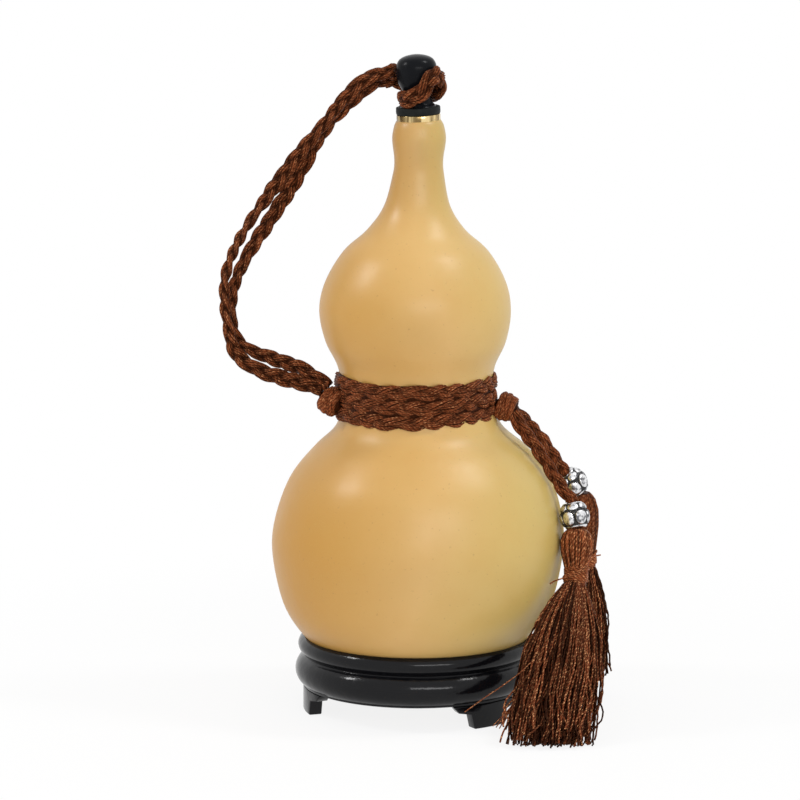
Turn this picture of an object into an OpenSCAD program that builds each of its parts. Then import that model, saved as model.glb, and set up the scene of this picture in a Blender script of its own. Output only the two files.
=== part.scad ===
// Gourd water bottle on a three-footed stand, with a plaited carrying cord and two tassels.
// Millimetres, +Z up, the table is Z = 0, and -Y is the front.

/* [Gourd] */
// Largest diameter of the lower bulb
lower_bulb_d = 120; // [116:0.5:122]
// Largest diameter of the upper bulb
upper_bulb_d = 79; // [76:0.5:81]
// Thickness of the gourd's wall
wall = 3.5; // [3:0.1:4]
// Thickness of the sealing coat inside
coat = 0.8; // [0.6:0.1:1]
// Height of the mouth above the table
mouth_z = 245; // [244.5:0.1:245.5]
// Lean of the mouth's cut towards the left, in degrees
mouth_lean = 2.5; // [0:0.5:3]

/* [Mouth and stopper] */
// Outer diameter of the brass ring
ring_d = 18; // [17.5:0.1:18.5]
// Height of the brass ring
ring_h = 2.7; // [2.4:0.1:3]
// Outer diameter of the brass sleeve in the neck
sleeve_d = 14; // [13.8:0.1:14.2]
// Length of the brass sleeve
sleeve_len = 18; // [16:0.5:20]
// Bore of the brass mouth
mouth_bore = 11.2; // [11:0.1:11.4]
// Radial clearance between the plug's ribs and the bore
plug_fit = 0.08; // [0.04:0.01:0.1]
// Diameter of the stopper's stem
stem_d = 6; // [5:0.1:7]
// Thickness of the rubber gasket
gasket_h = 3; // [2.8:0.1:3.2]
// Largest diameter of the knob
knob_d = 16.8; // [16.4:0.1:17]
// Height of the knob above the gasket
knob_h = 21; // [20:0.5:22]

/* [Cord] */
// Width of the plait around the waist
wrap_w = 5.6; // [5.2:0.1:5.8]
// Thickness of the plait around the waist
wrap_t = 3; // [2.6:0.1:3.2]
// Step from one turn at the waist to the next
wrap_step = 6.1; // [6:0.1:6.3]
// Height of the middle turn at the front
wrap_z = 131.6; // [131:0.1:132]
// Diameter of each carrying plait
lanyard_d = 5; // [4.4:0.1:5.2]
// Diameter of each tail plait
tail_d = 5; // [4.4:0.1:5.2]

/* [Beads and tassels] */
// Outer diameter of a bead
bead_d = 12; // [11.6:0.1:12.2]
// Length of a bead along its hole
bead_h = 10.6; // [10.2:0.1:10.8]
// Diameter of the cord loop through a bead
loop_d = 4; // [3.6:0.1:4.2]
// Radial clearance between a bead and its loop
bead_fit = 0.08; // [0.04:0.01:0.1]
// Largest diameter of a tassel's head
head_d = 13.4; // [13:0.1:13.8]
// Diameter of the thread binding
binding_d = 10; // [9.6:0.1:10.4]

/* [Stand] */
// Outer diameter of the stand
stand_d = 100.8; // [100:0.2:102]
// Height of the clear space under the ring
foot_h = 10; // [9.6:0.1:10.4]
// Width of a foot along the ring
foot_w = 20; // [18:0.5:22]
// Thickness of a foot
foot_t = 5.4; // [5:0.1:6]
// Direction of the first foot, in degrees from the front
foot_dir = 40; // [36:1:44]

/* [Hidden] */
$fn = 72;

// Stations of the gourd's outline from the base to the mouth, as [radius, height]
lower_r = lower_bulb_d / 2;
upper_r = upper_bulb_d / 2;
neck_r = 10;
waist_r = 30.8;
outline = [[-20, 14], [0, 11.2], [20, 14], [36, 22], [47.6, 32.3], [55.6, 45.3], [lower_r, 64.5],
    [59.5, 79], [54.2, 96], [44.9, 108.5], [34.4, 118.5], [waist_r, 130.5], [32.4, 143.4], [37.3, 154.2],
    [upper_r, 166.7], [37.2, 178.6], [30, 191], [20.4, 199.8], [13.7, 209.7], [10.6, 222.4],
    [neck_r, 229], [11, 238], [9.6, mouth_z + 0.5], [9, mouth_z + 6]];
steps = 4;

// Point at fraction t of the span that starts at station i, on a curve through all stations
function curve(p, i, t) =
    0.5 * (2 * p[i] + (p[i + 1] - p[i - 1]) * t
    + (2 * p[i - 1] - 5 * p[i] + 4 * p[i + 1] - p[i + 2]) * t * t
    + (3 * p[i] - p[i - 1] - 3 * p[i + 1] + p[i + 2]) * t * t * t);
function smooth(p, n) = concat(
    [for (i = [1 : len(p) - 3]) for (k = [0 : n - 1]) curve(p, i, k / n)],
    [p[len(p) - 2]]);
skin = smooth(outline, steps);

// The same curve moved inwards by d, square to itself
function inward(p, i, d) =
    let (a = p[max(i - 1, 0)], b = p[min(i + 1, len(p) - 1)], t = b - a)
    p[i] + d * [-t[1], t[0]] / norm(t);
function inner_curve(d, top) = [for (i = [1 : len(skin) - 1])
    let (q = inward(skin, i, d)) if (q[1] < top && q[0] > 6) q];

// Top of the curved hollow, where the straight neck bore starts
hollow_top = 204;
neck_bore = sleeve_d / 2;
coat_top = 221;

plug_r = mouth_bore / 2 - plug_fit;
seat_gap = 0.1;
knob_foot = ring_h + seat_gap + gasket_h;
stem_len = sleeve_len - 2;

// Sweep of a flat section: half width along "up", half thickness square to it
function unit(v) = v / norm(v);
function heading(p, i) = unit(p[min(i + 1, len(p) - 1)] - p[max(i - 1, 0)]);
function section(p, i, w, t, sides, up) =
    let (h = heading(p, i), s = unit(cross(h, up)), u = cross(s, h))
    [for (k = [0 : sides - 1]) let (a = 360 * (k + 0.5) / sides) p[i] + s * t * cos(a) + u * w * sin(a)];
module ribbon(p, w, t, sides, ups) {
    rings = [for (i = [0 : len(p) - 1]) section(p, i, w, t, sides, ups[i])];
    n = len(p);
    points = [for (r = rings) for (q = r) q];
    walls = [for (i = [0 : n - 2]) for (k = [0 : sides - 1]) for (f = [0, 1])
        let (a = i * sides + k, b = i * sides + (k + 1) % sides)
        f == 0 ? [a, b, b + sides] : [a, b + sides, a + sides]];
    first = [for (k = [1 : sides - 2]) [0, k + 1, k]];
    last = [for (k = [1 : sides - 2]) [(n - 1) * sides, (n - 1) * sides + k, (n - 1) * sides + k + 1]];
    polyhedron(points = points, faces = concat(walls, first, last), convexity = 8);
}
module cord(route, d, sides, per_span) {
    ends = concat([2 * route[0] - route[1]], route, [2 * route[len(route) - 1] - route[len(route) - 2]]);
    p = smooth(ends, per_span);
    ribbon(p, d / 2, d / 2, sides, [for (q = p) [0.08, 1, 0.05]]);
}

// Routes of the free cords, from where each leaves the knot or the hitch
outer_route = [[-12.3, 3.8, 264.2], [-17.2, 1, 263.3], [-22.9, -1.6, 260.7], [-33.5, -3, 250.1],
    [-43.3, -3, 237.8], [-51.8, -3, 227.1], [-60.9, -3, 214.4], [-70.1, -3, 201.2], [-77.1, -3, 188],
    [-79.9, -3, 175.6], [-78.3, -3, 159.8], [-74.3, -3.4, 149.1], [-64.4, -5, 142.3], [-52.1, -7, 138.9],
    [-42, -9.4, 136.3]];
inner_route = [[-11.9, 10, 260.7], [-16.8, 6.6, 259.8], [-22.5, 4, 256.4], [-32.3, 3, 245.7],
    [-40.9, 3, 235.4], [-46.7, 3, 225.9], [-54.1, 2.6, 213.2], [-62.5, 2.6, 200.4], [-69.7, 2.8, 188.8],
    [-73.9, 3, 176.7], [-74.4, 2.8, 163], [-70.3, 2, 152.7], [-59.6, -0.6, 146.9], [-48, -4, 143.5],
    [-39, -8.6, 138.4]];
front_route = [[41, -8.8, 122.6], [43.8, -9.8, 118.1], [48.4, -10.8, 112], [53.3, -11.8, 104.7],
    [57.4, -12.4, 98.2], [60.9, -12.9, 92.8], [63.5, -13.4, 89.3]];
rear_route = [[40.4, 1, 124.5], [45.4, 4, 119], [52.2, 8, 110.5], [57.7, 12, 102.1], [61.3, 14.6, 96.4]];

// Ends of each tassel's bead, head, binding and skirt, from the top down
front_chain = [[63.5, -13.4, 89.3], [65.6, -16.4, 78.2], [65.2, -20.8, 63], [64.8, -23.2, 57],
    [52.5, -71, 1.4]];
rear_chain = [[61.3, 14.6, 96.4], [68.4, 15.8, 87.2], [69.8, 17, 62.2], [70.2, 17.4, 56.2],
    [70.5, 19, 2.4]];
skirt_rings = 9;
skirt_flare = 0.32;
skirt_top_r = 4.6;
skirt_sides = 36;

// Winding at the waist: level over the front, and a step down over each crossing of the back
turns = 2.5;
rings_per_turn = 24;
wrap_rings = turns * rings_per_turn;
wrap_r = 32.75;
function ease(x) = x * x * (3 - 2 * x);
function wrap_height(a) =
    let (whole = floor(a / 360), part = a - 360 * whole)
    wrap_z + wrap_step * (1 - whole - (part > 180 ? ease((part - 180) / 180) : 0));
function wrap_point(i) = let (a = 360 * i / rings_per_turn)
    [-wrap_r * cos(a), -wrap_r * sin(a), wrap_height(a)];
wrap_path = [for (i = [0 : wrap_rings]) wrap_point(i)];
// Radial distance between neighbouring turns is level with Z, so the gap is measured along Z
wrap_gap = min([for (i = [0 : wrap_rings - rings_per_turn])
    norm(wrap_path[i] - wrap_path[i + rings_per_turn]) - wrap_w]);
echo(least_gap_between_waist_turns = wrap_gap);

// Hitch round the stopper: low at the front left, climbing at the right, high behind
hitch_w = 6.4;
hitch_t = 3.2;
hitch_rings = 22;
function hitch_angle(i) = -100 + 330 * i / hitch_rings;
function hitch_point(i) =
    let (a = hitch_angle(i), f = ease(min(max((a + 20) / 170, 0), 1)), r = 7.2 + 3 * f)
    [r * sin(a), -r * cos(a), 9.5 + 8.5 * f];
hitch_path = [for (i = [0 : hitch_rings]) hitch_point(i)];
hitch_gap = norm(hitch_path[0] - hitch_path[hitch_rings]) - hitch_w;
echo(least_gap_in_stopper_hitch = hitch_gap);

module at_mouth() {
    translate([0, 0, mouth_z]) rotate([0, -mouth_lean, 0]) children();
}

// Puts a shape drawn upwards from the origin on the line from b to a, with its top at a
module from_to(a, b) {
    v = a - b;
    translate(b) rotate([0, acos(v[2] / norm(v)), atan2(v[1], v[0])]) children();
}

module gourd_shell() {
    color("burlywood") difference() {
        rotate_extrude() polygon(concat(skin, [[0, mouth_z + 0.5]]));
        rotate_extrude() polygon(concat([[0, inner_curve(wall, hollow_top)[0][1]]],
            inner_curve(wall, hollow_top), [[neck_bore, hollow_top], [neck_bore, mouth_z - 10],
            [0, mouth_z - 10]]));
        at_mouth() translate([0, 0, -sleeve_len]) cylinder(r = sleeve_d / 2, h = sleeve_len + 10);
        at_mouth() translate([0, 0, 10]) cube([60, 60, 20], center = true);
    }
}

module inner_coat() {
    outer = inner_curve(wall, hollow_top);
    inner = inner_curve(wall + coat, hollow_top);
    color("sienna") rotate_extrude() polygon(concat([[0, outer[0][1]]], outer,
        [[neck_bore, hollow_top], [neck_bore, coat_top], [neck_bore - coat, coat_top],
        [neck_bore - coat, hollow_top]],
        [for (i = [len(inner) - 1 : -1 : 0]) inner[i]], [[0, inner[0][1]]]));
}

module brass_collar() {
    edge = 0.5;
    color("goldenrod") at_mouth() rotate_extrude() polygon([[mouth_bore / 2, -sleeve_len],
        [sleeve_d / 2, -sleeve_len], [sleeve_d / 2, 0], [ring_d / 2 - edge, 0], [ring_d / 2, edge],
        [ring_d / 2, ring_h - edge], [ring_d / 2 - edge, ring_h], [mouth_bore / 2, ring_h]]);
}

module stopper_gasket() {
    edge = 0.4;
    foot = ring_h + seat_gap;
    color("dimgray") at_mouth() rotate_extrude() polygon([[stem_d / 2, foot], [ring_d / 2 - edge, foot],
        [ring_d / 2, foot + edge], [ring_d / 2, knob_foot - edge], [ring_d / 2 - edge, knob_foot],
        [stem_d / 2, knob_foot]]);
}

// Stations of the knob's outline, as [radius, height above the gasket]
knob_r = knob_d / 2;
knob_outline = [[7.8, -2], [7.4, 0], [6.4, 1.6], [5.6, 4.2], [5.7, 7], [6.5, 10], [7.6, 13],
    [knob_r, knob_h - 4.6], [8.1, knob_h - 2.4], [6, knob_h - 0.5], [3, knob_h], [0, knob_h + 0.1],
    [-3, knob_h]];

module stopper_knob() {
    knob_skin = smooth(knob_outline, 3);
    color("black") at_mouth() {
        translate([0, 0, knob_foot]) rotate_extrude() polygon(concat([[0, 0]], knob_skin));
        translate([0, 0, -stem_len]) cylinder(d = stem_d, h = stem_len + knob_foot + 1);
    }
}

module stopper_plug() {
    ribs = 4;
    pitch = 3.6;
    groove = 0.7;
    plug_len = ribs * pitch;
    color("whitesmoke") at_mouth() translate([0, 0, -plug_len + ring_h - 0.3]) difference() {
        union() {
            cylinder(r = plug_r - groove, h = plug_len);
            for (i = [0 : ribs - 1]) translate([0, 0, i * pitch + 0.8]) cylinder(r = plug_r, h = 2);
        }
        translate([0, 0, -1]) cylinder(d = stem_d, h = plug_len + 2);
    }
}

module stopper_hitch() {
    color("saddlebrown") at_mouth() ribbon(hitch_path, hitch_w / 2, hitch_t / 2, 6,
        [for (p = hitch_path) [0, 0, 1]]);
}

module lanyard_outer_braid() {
    color("saddlebrown") cord(outer_route, lanyard_d, 8, 2);
}

module lanyard_inner_braid() {
    color("saddlebrown") cord(inner_route, lanyard_d, 8, 2);
}

// Middle, diameter and length of each knot
left_knot_at = [-37.8, -10, 131.2];
left_knot_size = [10.4, 13];
right_knot_at = [37.2, -4, 127.6];
right_knot_size = [9.6, 15];

// Ball knot with a raised strand round it, drawn along Z
module ball_knot(d, h) {
    rotate_extrude() polygon(concat([[0, -h / 2]],
        [for (a = [-80 : 20 : 80]) [d / 2 * cos(a) * (1 - 0.06 * cos(4 * a)), h / 2 * sin(a)]],
        [[0, h / 2]]));
}

module left_knot() {
    color("saddlebrown") difference() {
        translate(left_knot_at) rotate([0, 12, 0]) ball_knot(left_knot_size[0], left_knot_size[1]);
        cylinder(r = wrap_r + wrap_t / 2, h = 200);
    }
}

module right_knot() {
    color("saddlebrown") difference() {
        translate(right_knot_at) rotate([90, 0, 0]) ball_knot(right_knot_size[0], right_knot_size[1]);
        cylinder(r = wrap_r + wrap_t / 2, h = 200);
    }
}

module waist_wrap() {
    color("saddlebrown") ribbon(wrap_path, wrap_w / 2, wrap_t / 2, 6, [for (p = wrap_path) [0, 0, 1]]);
}

// Tail plait, cut square to its bead's axis at the bead's upper end
module tail_braid(route, chain) {
    color("saddlebrown") difference() {
        cord(route, tail_d, 8, 2);
        from_to(chain[0], chain[1]) cylinder(d = 2 * bead_d, h = bead_h + 1);
    }
}

// Barrel bead with two staggered rows of raised petals, standing on the origin
bead_petals = 6;
bead_rings = 13;
bead_sides = 48;
bead_end_r = 3.6;
bead_relief = 0.9;
// How far a place is from its petal's middle: 0 there, 1 at the petal's edge
function petal_span(f, a) =
    let (row = f < 0.5 ? 0 : 1, turn = a * bead_petals / 360 + row / 2, across = 2 * (turn - floor(turn)) - 1,
        along = (f - 0.25 - row / 2) / 0.25)
    min(1, norm([across, along]));
function bead_radius(f, a) =
    bead_end_r + (bead_d / 2 - bead_relief - bead_end_r) * pow(sin(180 * f), 0.6)
    + bead_relief * (1 - pow(petal_span(f, a), 3)) * sin(180 * f);
module bead() {
    n = bead_sides;
    points = concat([for (i = [0 : bead_rings - 1]) for (k = [0 : n - 1])
        let (f = i / (bead_rings - 1), a = 360 * k / n, r = bead_radius(f, a))
        [r * cos(a), r * sin(a), f * bead_h]], [[0, 0, 0], [0, 0, bead_h]]);
    last = (bead_rings - 1) * n;
    walls = [for (i = [0 : bead_rings - 2]) for (k = [0 : n - 1]) for (f = [0, 1])
        let (p = i * n + k, q = i * n + (k + 1) % n)
        f == 0 ? [p, q + n, q] : [p, p + n, q + n]];
    ends = [for (k = [0 : n - 1]) for (f = [0, 1])
        f == 0 ? [bead_rings * n, k, (k + 1) % n]
        : [bead_rings * n + 1, last + (k + 1) % n, last + k]];
    color("silver") difference() {
        polyhedron(points = points, faces = concat(walls, ends), convexity = 6);
        translate([0, 0, -1]) cylinder(r = loop_d / 2 + bead_fit, h = bead_h + 2);
    }
}

module strung_bead(a, b) {
    gap = (norm(a - b) - bead_h) / 2;
    from_to(a, b) translate([0, 0, gap]) bead();
}

module tassel_loop(a, b) {
    color("saddlebrown") from_to(a, b) cylinder(d = loop_d, h = norm(a - b));
}

// Folded yarn over the loop: round shoulders that draw in to the binding, flat under the bead
module tassel_head(chain) {
    h = norm(chain[1] - chain[2]);
    r = head_d / 2;
    profile = smooth([[3, h + 3], [4.6, h], [r * 0.9, h * 0.88], [r, h * 0.66], [r * 0.93, h * 0.36],
        [binding_d / 2 - 0.2, 0], [4.4, -3]], 3);
    color("saddlebrown") difference() {
        from_to(chain[1], chain[2]) rotate_extrude() polygon(concat([[0, h]], profile, [[0, 0]]));
        from_to(chain[0], chain[1]) cylinder(d = bead_d + 2, h = bead_h);
    }
}

module tassel_binding(a, b) {
    h = norm(a - b);
    wraps = 5;
    wrap_h = h / wraps;
    color("saddlebrown") from_to(a, b) rotate_extrude() polygon(concat([[0, 0]],
        [for (i = [0 : wraps - 1]) for (k = [0, 1, 2])
            [binding_d / 2 - (k == 1 ? 0 : 0.45), (i + k / 2) * wrap_h]], [[0, h]]));
}

// Fluted skirt that opens from the binding to its cut end
function skirt_radius(f, a, top_r, end_r, flutes, depth) =
    (top_r + (end_r - top_r) * pow(f, skirt_flare)) * (1 + depth * f * sin(flutes * a) + 0.04 * sin(3 * a));
module skirt(a, b, top_r, end_w, end_t, lie, flutes) {
    axis = unit(b - a);
    wide = unit(cross(axis, lie));
    deep = cross(wide, axis);
    rings = [for (i = [0 : skirt_rings - 1]) let (f = i / (skirt_rings - 1))
        [for (k = [0 : skirt_sides - 1]) let (t = 360 * k / skirt_sides)
            a + (b - a) * f + wide * cos(t) * skirt_radius(f, t, top_r, end_w, flutes, 0.08)
            + deep * sin(t) * skirt_radius(f, t, top_r, end_t, flutes, 0.08)]];
    points = concat([for (r = rings) for (q = r) q], [a, b]);
    n = skirt_sides;
    last = (skirt_rings - 1) * n;
    walls = [for (i = [0 : skirt_rings - 2]) for (k = [0 : n - 1]) for (f = [0, 1])
        let (p = i * n + k, q = i * n + (k + 1) % n)
        f == 0 ? [p, q, q + n] : [p, q + n, p + n]];
    ends = [for (k = [0 : n - 1]) for (f = [0, 1])
        f == 0 ? [skirt_rings * n, (k + 1) % n, k]
        : [skirt_rings * n + 1, last + k, last + (k + 1) % n]];
    color("saddlebrown") polyhedron(points = points, faces = concat(walls, ends), convexity = 6);
}

module front_tassel_skirt() {
    difference() {
        skirt(front_chain[3], front_chain[4], skirt_top_r, 18, 7, [0, 1, 0], 9);
        color("saddlebrown") translate([0, -60, -24.8]) cube([200, 200, 50], center = true);
    }
}

module rear_tassel_skirt() {
    skirt(rear_chain[3], rear_chain[4], skirt_top_r, 10.5, 8, [0, 1, 0], 7);
}

// Turned ring: a lip that carries the gourd, a cove and a heavy bead below it
ring_inner_r = 42;
rim_z = 31.4;
cove_z = 22.6;
torus_r = 7;
torus_z = 17;
lip_r = 3.9;
lip_z = 27.4;
lip_out_r = 48.8;
module stand_ring() {
    color("black") rotate_extrude() difference() {
        union() {
            translate([stand_d / 2 - torus_r, torus_z]) circle(r = torus_r);
            translate([lip_out_r - lip_r, lip_z]) circle(r = lip_r);
            polygon([[ring_inner_r, foot_h], [47.6, foot_h], [46.8, cove_z], [47.4, 29], [46.6, rim_z],
                [ring_inner_r, rim_z]]);
        }
        translate([0, -10]) square([60, foot_h + 10]);
        translate([0, -10]) square([ring_inner_r, 60]);
        polygon([[ring_inner_r - 2, 23.7], [47.4, 31.4], [47.4, 40], [ring_inner_r - 2, 40]]);
    }
}

// Foot under the ring: a curved plate with slanting ends and two small pointed shoulders
foot_r = 47.2;
dowel_d = 3;
dowel_up = 6;
dowel_turn = 5.5;
module foot(direction) {
    slant = 2.4;
    shoulder = 7;
    shoulder_h = 2.6;
    color("black") rotate([0, 0, direction]) difference() {
        intersection() {
            difference() {
                cylinder(r = foot_r, h = foot_h);
                translate([0, 0, -1]) cylinder(r = foot_r - foot_t, h = foot_h + 2);
            }
            rotate([90, 0, 0]) linear_extrude(height = 60) polygon([
                [-foot_w / 2 + slant, 0], [foot_w / 2 - slant, 0], [foot_w / 2, foot_h - shoulder_h],
                [foot_w / 2 + shoulder, foot_h - shoulder_h / 2], [foot_w / 2 + shoulder, foot_h],
                [-foot_w / 2 - shoulder, foot_h], [-foot_w / 2 - shoulder, foot_h - shoulder_h / 2],
                [-foot_w / 2, foot_h - shoulder_h]]);
        }
        dowel_pair();
    }
}

module dowel_pair() {
    for (side = [-1, 1]) rotate([0, 0, side * dowel_turn])
        translate([0, -(foot_r - foot_t / 2), foot_h - dowel_up]) cylinder(d = dowel_d, h = 2 * dowel_up);
}

module drilled_ring() {
    difference() {
        stand_ring();
        for (i = [0 : 2]) rotate([0, 0, foot_dir + 120 * i]) dowel_pair();
    }
}

module foot_dowels() {
    color("tan") for (i = [0 : 2]) rotate([0, 0, foot_dir + 120 * i]) dowel_pair();
}

gourd_shell();
inner_coat();
brass_collar();
stopper_knob();
stopper_gasket();
stopper_plug();
stopper_hitch();
lanyard_outer_braid();
lanyard_inner_braid();
left_knot();
waist_wrap();
right_knot();
tail_braid(front_route, front_chain);  // front_tail_braid
tail_braid(rear_route, rear_chain);  // rear_tail_braid
strung_bead(front_chain[0], front_chain[1]);  // front_bead
strung_bead(rear_chain[0], rear_chain[1]);  // rear_bead
tassel_loop(front_chain[0], front_chain[1]);  // front_tassel_loop
tassel_loop(rear_chain[0], rear_chain[1]);  // rear_tassel_loop
tassel_head(front_chain);  // front_tassel_head
tassel_head(rear_chain);  // rear_tassel_head
tassel_binding(front_chain[2], front_chain[3]);  // front_tassel_binding
tassel_binding(rear_chain[2], rear_chain[3]);  // rear_tassel_binding
front_tassel_skirt();
rear_tassel_skirt();
drilled_ring();  // stand_ring
foot(foot_dir - 120);  // foot_left
foot(foot_dir);  // foot_front
foot(foot_dir + 120);  // foot_back
foot_dowels();
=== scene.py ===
"""Gourd water bottle on a lacquered stand, with a plaited carrying cord, beads and tassels.

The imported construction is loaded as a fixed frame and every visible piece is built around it,
in metres, with +Z up and -Y towards the viewer.
"""

import logging
import math
import random
from dataclasses import dataclass, field
from enum import Enum

import bpy
import numpy as np
from mathutils import Matrix, Vector


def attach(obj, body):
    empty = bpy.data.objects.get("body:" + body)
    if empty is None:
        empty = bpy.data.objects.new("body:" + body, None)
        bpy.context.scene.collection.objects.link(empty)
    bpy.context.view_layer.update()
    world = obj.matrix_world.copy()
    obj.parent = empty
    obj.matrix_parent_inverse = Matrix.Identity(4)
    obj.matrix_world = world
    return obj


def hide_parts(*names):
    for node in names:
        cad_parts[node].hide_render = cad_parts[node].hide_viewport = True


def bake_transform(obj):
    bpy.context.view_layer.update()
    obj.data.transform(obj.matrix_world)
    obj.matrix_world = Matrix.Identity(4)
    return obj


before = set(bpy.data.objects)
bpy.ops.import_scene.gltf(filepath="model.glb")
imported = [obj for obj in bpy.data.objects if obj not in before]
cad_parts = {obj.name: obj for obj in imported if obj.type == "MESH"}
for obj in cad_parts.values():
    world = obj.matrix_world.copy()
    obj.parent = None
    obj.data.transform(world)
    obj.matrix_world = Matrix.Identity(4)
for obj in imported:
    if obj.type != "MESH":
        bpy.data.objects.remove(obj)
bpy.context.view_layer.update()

LOG = logging.getLogger("gourd_bottle")
Point = tuple[float, float, float]
Color = tuple[float, float, float]
Pairs = list[tuple[float, float]]
Piece = bpy.types.Object
MM = 0.001
TAU = 2.0 * math.pi
GOLDEN_ANGLE = 2.399963
WELD_DISTANCE = 0.000002
ROUTE_SAMPLES = 12
OUTLINE_SAMPLES = 6


class Slot(Enum):
    """Material slots of the record."""

    GOURD = "gourd_rind"
    COAT = "inner_coating"
    BRASS = "brass"
    GLOSS = "black_gloss"
    RUBBER = "rubber"
    SILICONE = "silicone"
    CORD = "brown_cord"
    YARN = "tassel_yarn"
    SILVER = "antique_silver"
    LACQUER = "black_lacquer"
    DOWEL = "dowel_wood"


class Value:
    """One output socket of a shader tree, with arithmetic that adds Math nodes."""

    def __init__(self, tree: "Tree", socket: bpy.types.NodeSocket) -> None:
        """Keeps the tree and its socket.

        Args:
            tree: Shader tree that the socket belongs to.
            socket: Output socket that carries the value.
        """
        self.tree = tree
        self.socket = socket

    def math(self, operation: str, *others: "Value | float") -> "Value":
        """Adds a Math node with this value first.

        Args:
            operation: Blender's name of the operation.
            others: Further inputs, values or numbers.

        Returns:
            The node's result.
        """
        inputs = dict(enumerate((self, *others)))
        return self.tree.node("ShaderNodeMath", {"operation": operation}, inputs)

    def __add__(self, other: "Value | float") -> "Value":
        """Sum."""
        return self.math("ADD", other)

    __radd__ = __add__

    def __mul__(self, other: "Value | float") -> "Value":
        """Product."""
        return self.math("MULTIPLY", other)

    __rmul__ = __mul__

    def __sub__(self, other: "Value | float") -> "Value":
        """Difference."""
        return self.math("SUBTRACT", other)

    def __rsub__(self, other: float) -> "Value":
        """Difference from a number."""
        return (self * -1.0) + other

    def sine(self) -> "Value":
        """Sine of the value in radians."""
        return self.math("SINE")

    def clamp(self) -> "Value":
        """Value held between 0 and 1."""
        return self.math("MAXIMUM", 0.0).math("MINIMUM", 1.0)

    def step(self, low: float, high: float) -> "Value":
        """Smooth step from 0 at low to 1 at high.

        Args:
            low: Value that gives 0.
            high: Value that gives 1.

        Returns:
            The stepped value.
        """
        settings = {"interpolation_type": "SMOOTHSTEP"}
        inputs = {0: self, 1: low, 2: high, 3: 0.0, 4: 1.0}
        return self.tree.node("ShaderNodeMapRange", settings, inputs)


class Tree:
    """Node tree of one material or world."""

    def __init__(self, name: str, world: bool = False) -> None:
        """Makes an empty material or world.

        Args:
            name: Name of the material or world.
            world: Whether it is a world.
        """
        self.owner = (bpy.data.worlds if world else bpy.data.materials).new(name)
        self.owner.use_nodes = True
        self.nodes = self.owner.node_tree.nodes
        self.links = self.owner.node_tree.links
        self.nodes.clear()

    def node(
        self,
        kind: str,
        settings: dict | None = None,
        inputs: dict | None = None,
        output: int | str = 0,
    ) -> Value:
        """Adds any node.

        Args:
            kind: Blender's type name of the node.
            settings: Attributes that are set first; "stops" are a ramp's places and colours.
            inputs: Values or links by socket name or number.
            output: Name or number of the output that is used.

        Returns:
            The chosen output.
        """
        node = self.nodes.new(kind)
        for key, value in (settings or {}).items():
            if key == "stops":
                self._stops(node.color_ramp, value)
            else:
                setattr(node, key, value)
        for key, value in (inputs or {}).items():
            socket = node.inputs[key]
            if isinstance(value, Value):
                self.links.new(value.socket, socket)
            elif isinstance(value, tuple) and len(value) == 3 and socket.type == "RGBA":
                socket.default_value = (*value, 1.0)
            else:
                socket.default_value = value
        return Value(self, node.outputs[output])

    @staticmethod
    def _stops(ramp: bpy.types.ColorRamp, stops: list[tuple[float, Color]]) -> None:
        """Sets a ramp's stops.

        Args:
            ramp: Ramp of a node that has just been added.
            stops: Place and colour of each stop.
        """
        while len(ramp.elements) < len(stops):
            ramp.elements.new(1.0)
        for element, (place, color) in zip(ramp.elements, stops):
            element.position = place
            element.color = (*color, 1.0)

    def coordinates(self) -> Value:
        """Object coordinates."""
        return self.node("ShaderNodeTexCoord", output="Object")

    def attribute(self, name: str) -> Value:
        """Number that the mesh carries under a name."""
        return self.node("ShaderNodeAttribute", {"attribute_name": name}, output="Fac")

    def ray(self, kind: str) -> Value:
        """Value that is 1 for rays of one kind, such as Camera, and 0 for others."""
        return self.node("ShaderNodeLightPath", output=f"Is {kind} Ray")

    def axis(self, vector: Value, index: int) -> Value:
        """One part of a vector: 0, 1 or 2."""
        return self.node("ShaderNodeSeparateXYZ", inputs={0: vector}, output=index)

    def scaled(self, vector: Value, scale: Point) -> Value:
        """Scales a vector with a Mapping node."""
        return self.node("ShaderNodeMapping", inputs={"Vector": vector, "Scale": scale})

    def noise(self, scale: float, detail: float, rough: float = 0.5, at: Value | None = None) -> Value:
        """Noise from 0 to 1.

        Args:
            scale: Features per metre, or per unit of the coordinates.
            detail: Octaves.
            rough: Weight of the finer octaves.
            at: Coordinates, or None for Object coordinates.

        Returns:
            The noise's factor.
        """
        inputs = {"Vector": at or self.coordinates(), "Scale": scale, "Detail": detail, "Roughness": rough}
        return self.node("ShaderNodeTexNoise", inputs=inputs)

    def mix(self, factor: Value | float, low: Value | Color, high: Value | Color) -> Value:
        """Mixes two colours."""
        inputs = {0: factor, 6: low, 7: high}
        return self.node("ShaderNodeMix", {"data_type": "RGBA"}, inputs, 2)

    def ramp(self, factor: Value, stops: list[tuple[float, Color]]) -> Value:
        """Colour ramp over a factor."""
        return self.node("ShaderNodeValToRGB", {"stops": stops}, {0: factor})

    def bump(self, height: Value, distance: float, strength: float) -> Value:
        """Bump from a height, whose full range is the distance in metres."""
        inputs = {"Height": height, "Distance": distance, "Strength": strength}
        return self.node("ShaderNodeBump", inputs=inputs)

    def finish(self, **sockets: "Value | float | Color") -> bpy.types.Material:
        """Ends the tree in a Principled shader.

        Args:
            sockets: Values by socket name, with underscores for spaces.

        Returns:
            The material.
        """
        inputs = {name.replace("_", " "): value for name, value in sockets.items()}
        return self.end(self.node("ShaderNodeBsdfPrincipled", inputs=inputs))

    def end(self, shader: Value, output: str = "ShaderNodeOutputMaterial") -> bpy.types.ID:
        """Links the last shader to an output node.

        Args:
            shader: The last shader.
            output: Blender's type name of the output node.

        Returns:
            The material or world.
        """
        self.links.new(shader.socket, self.nodes.new(output).inputs["Surface"])
        return self.owner


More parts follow.
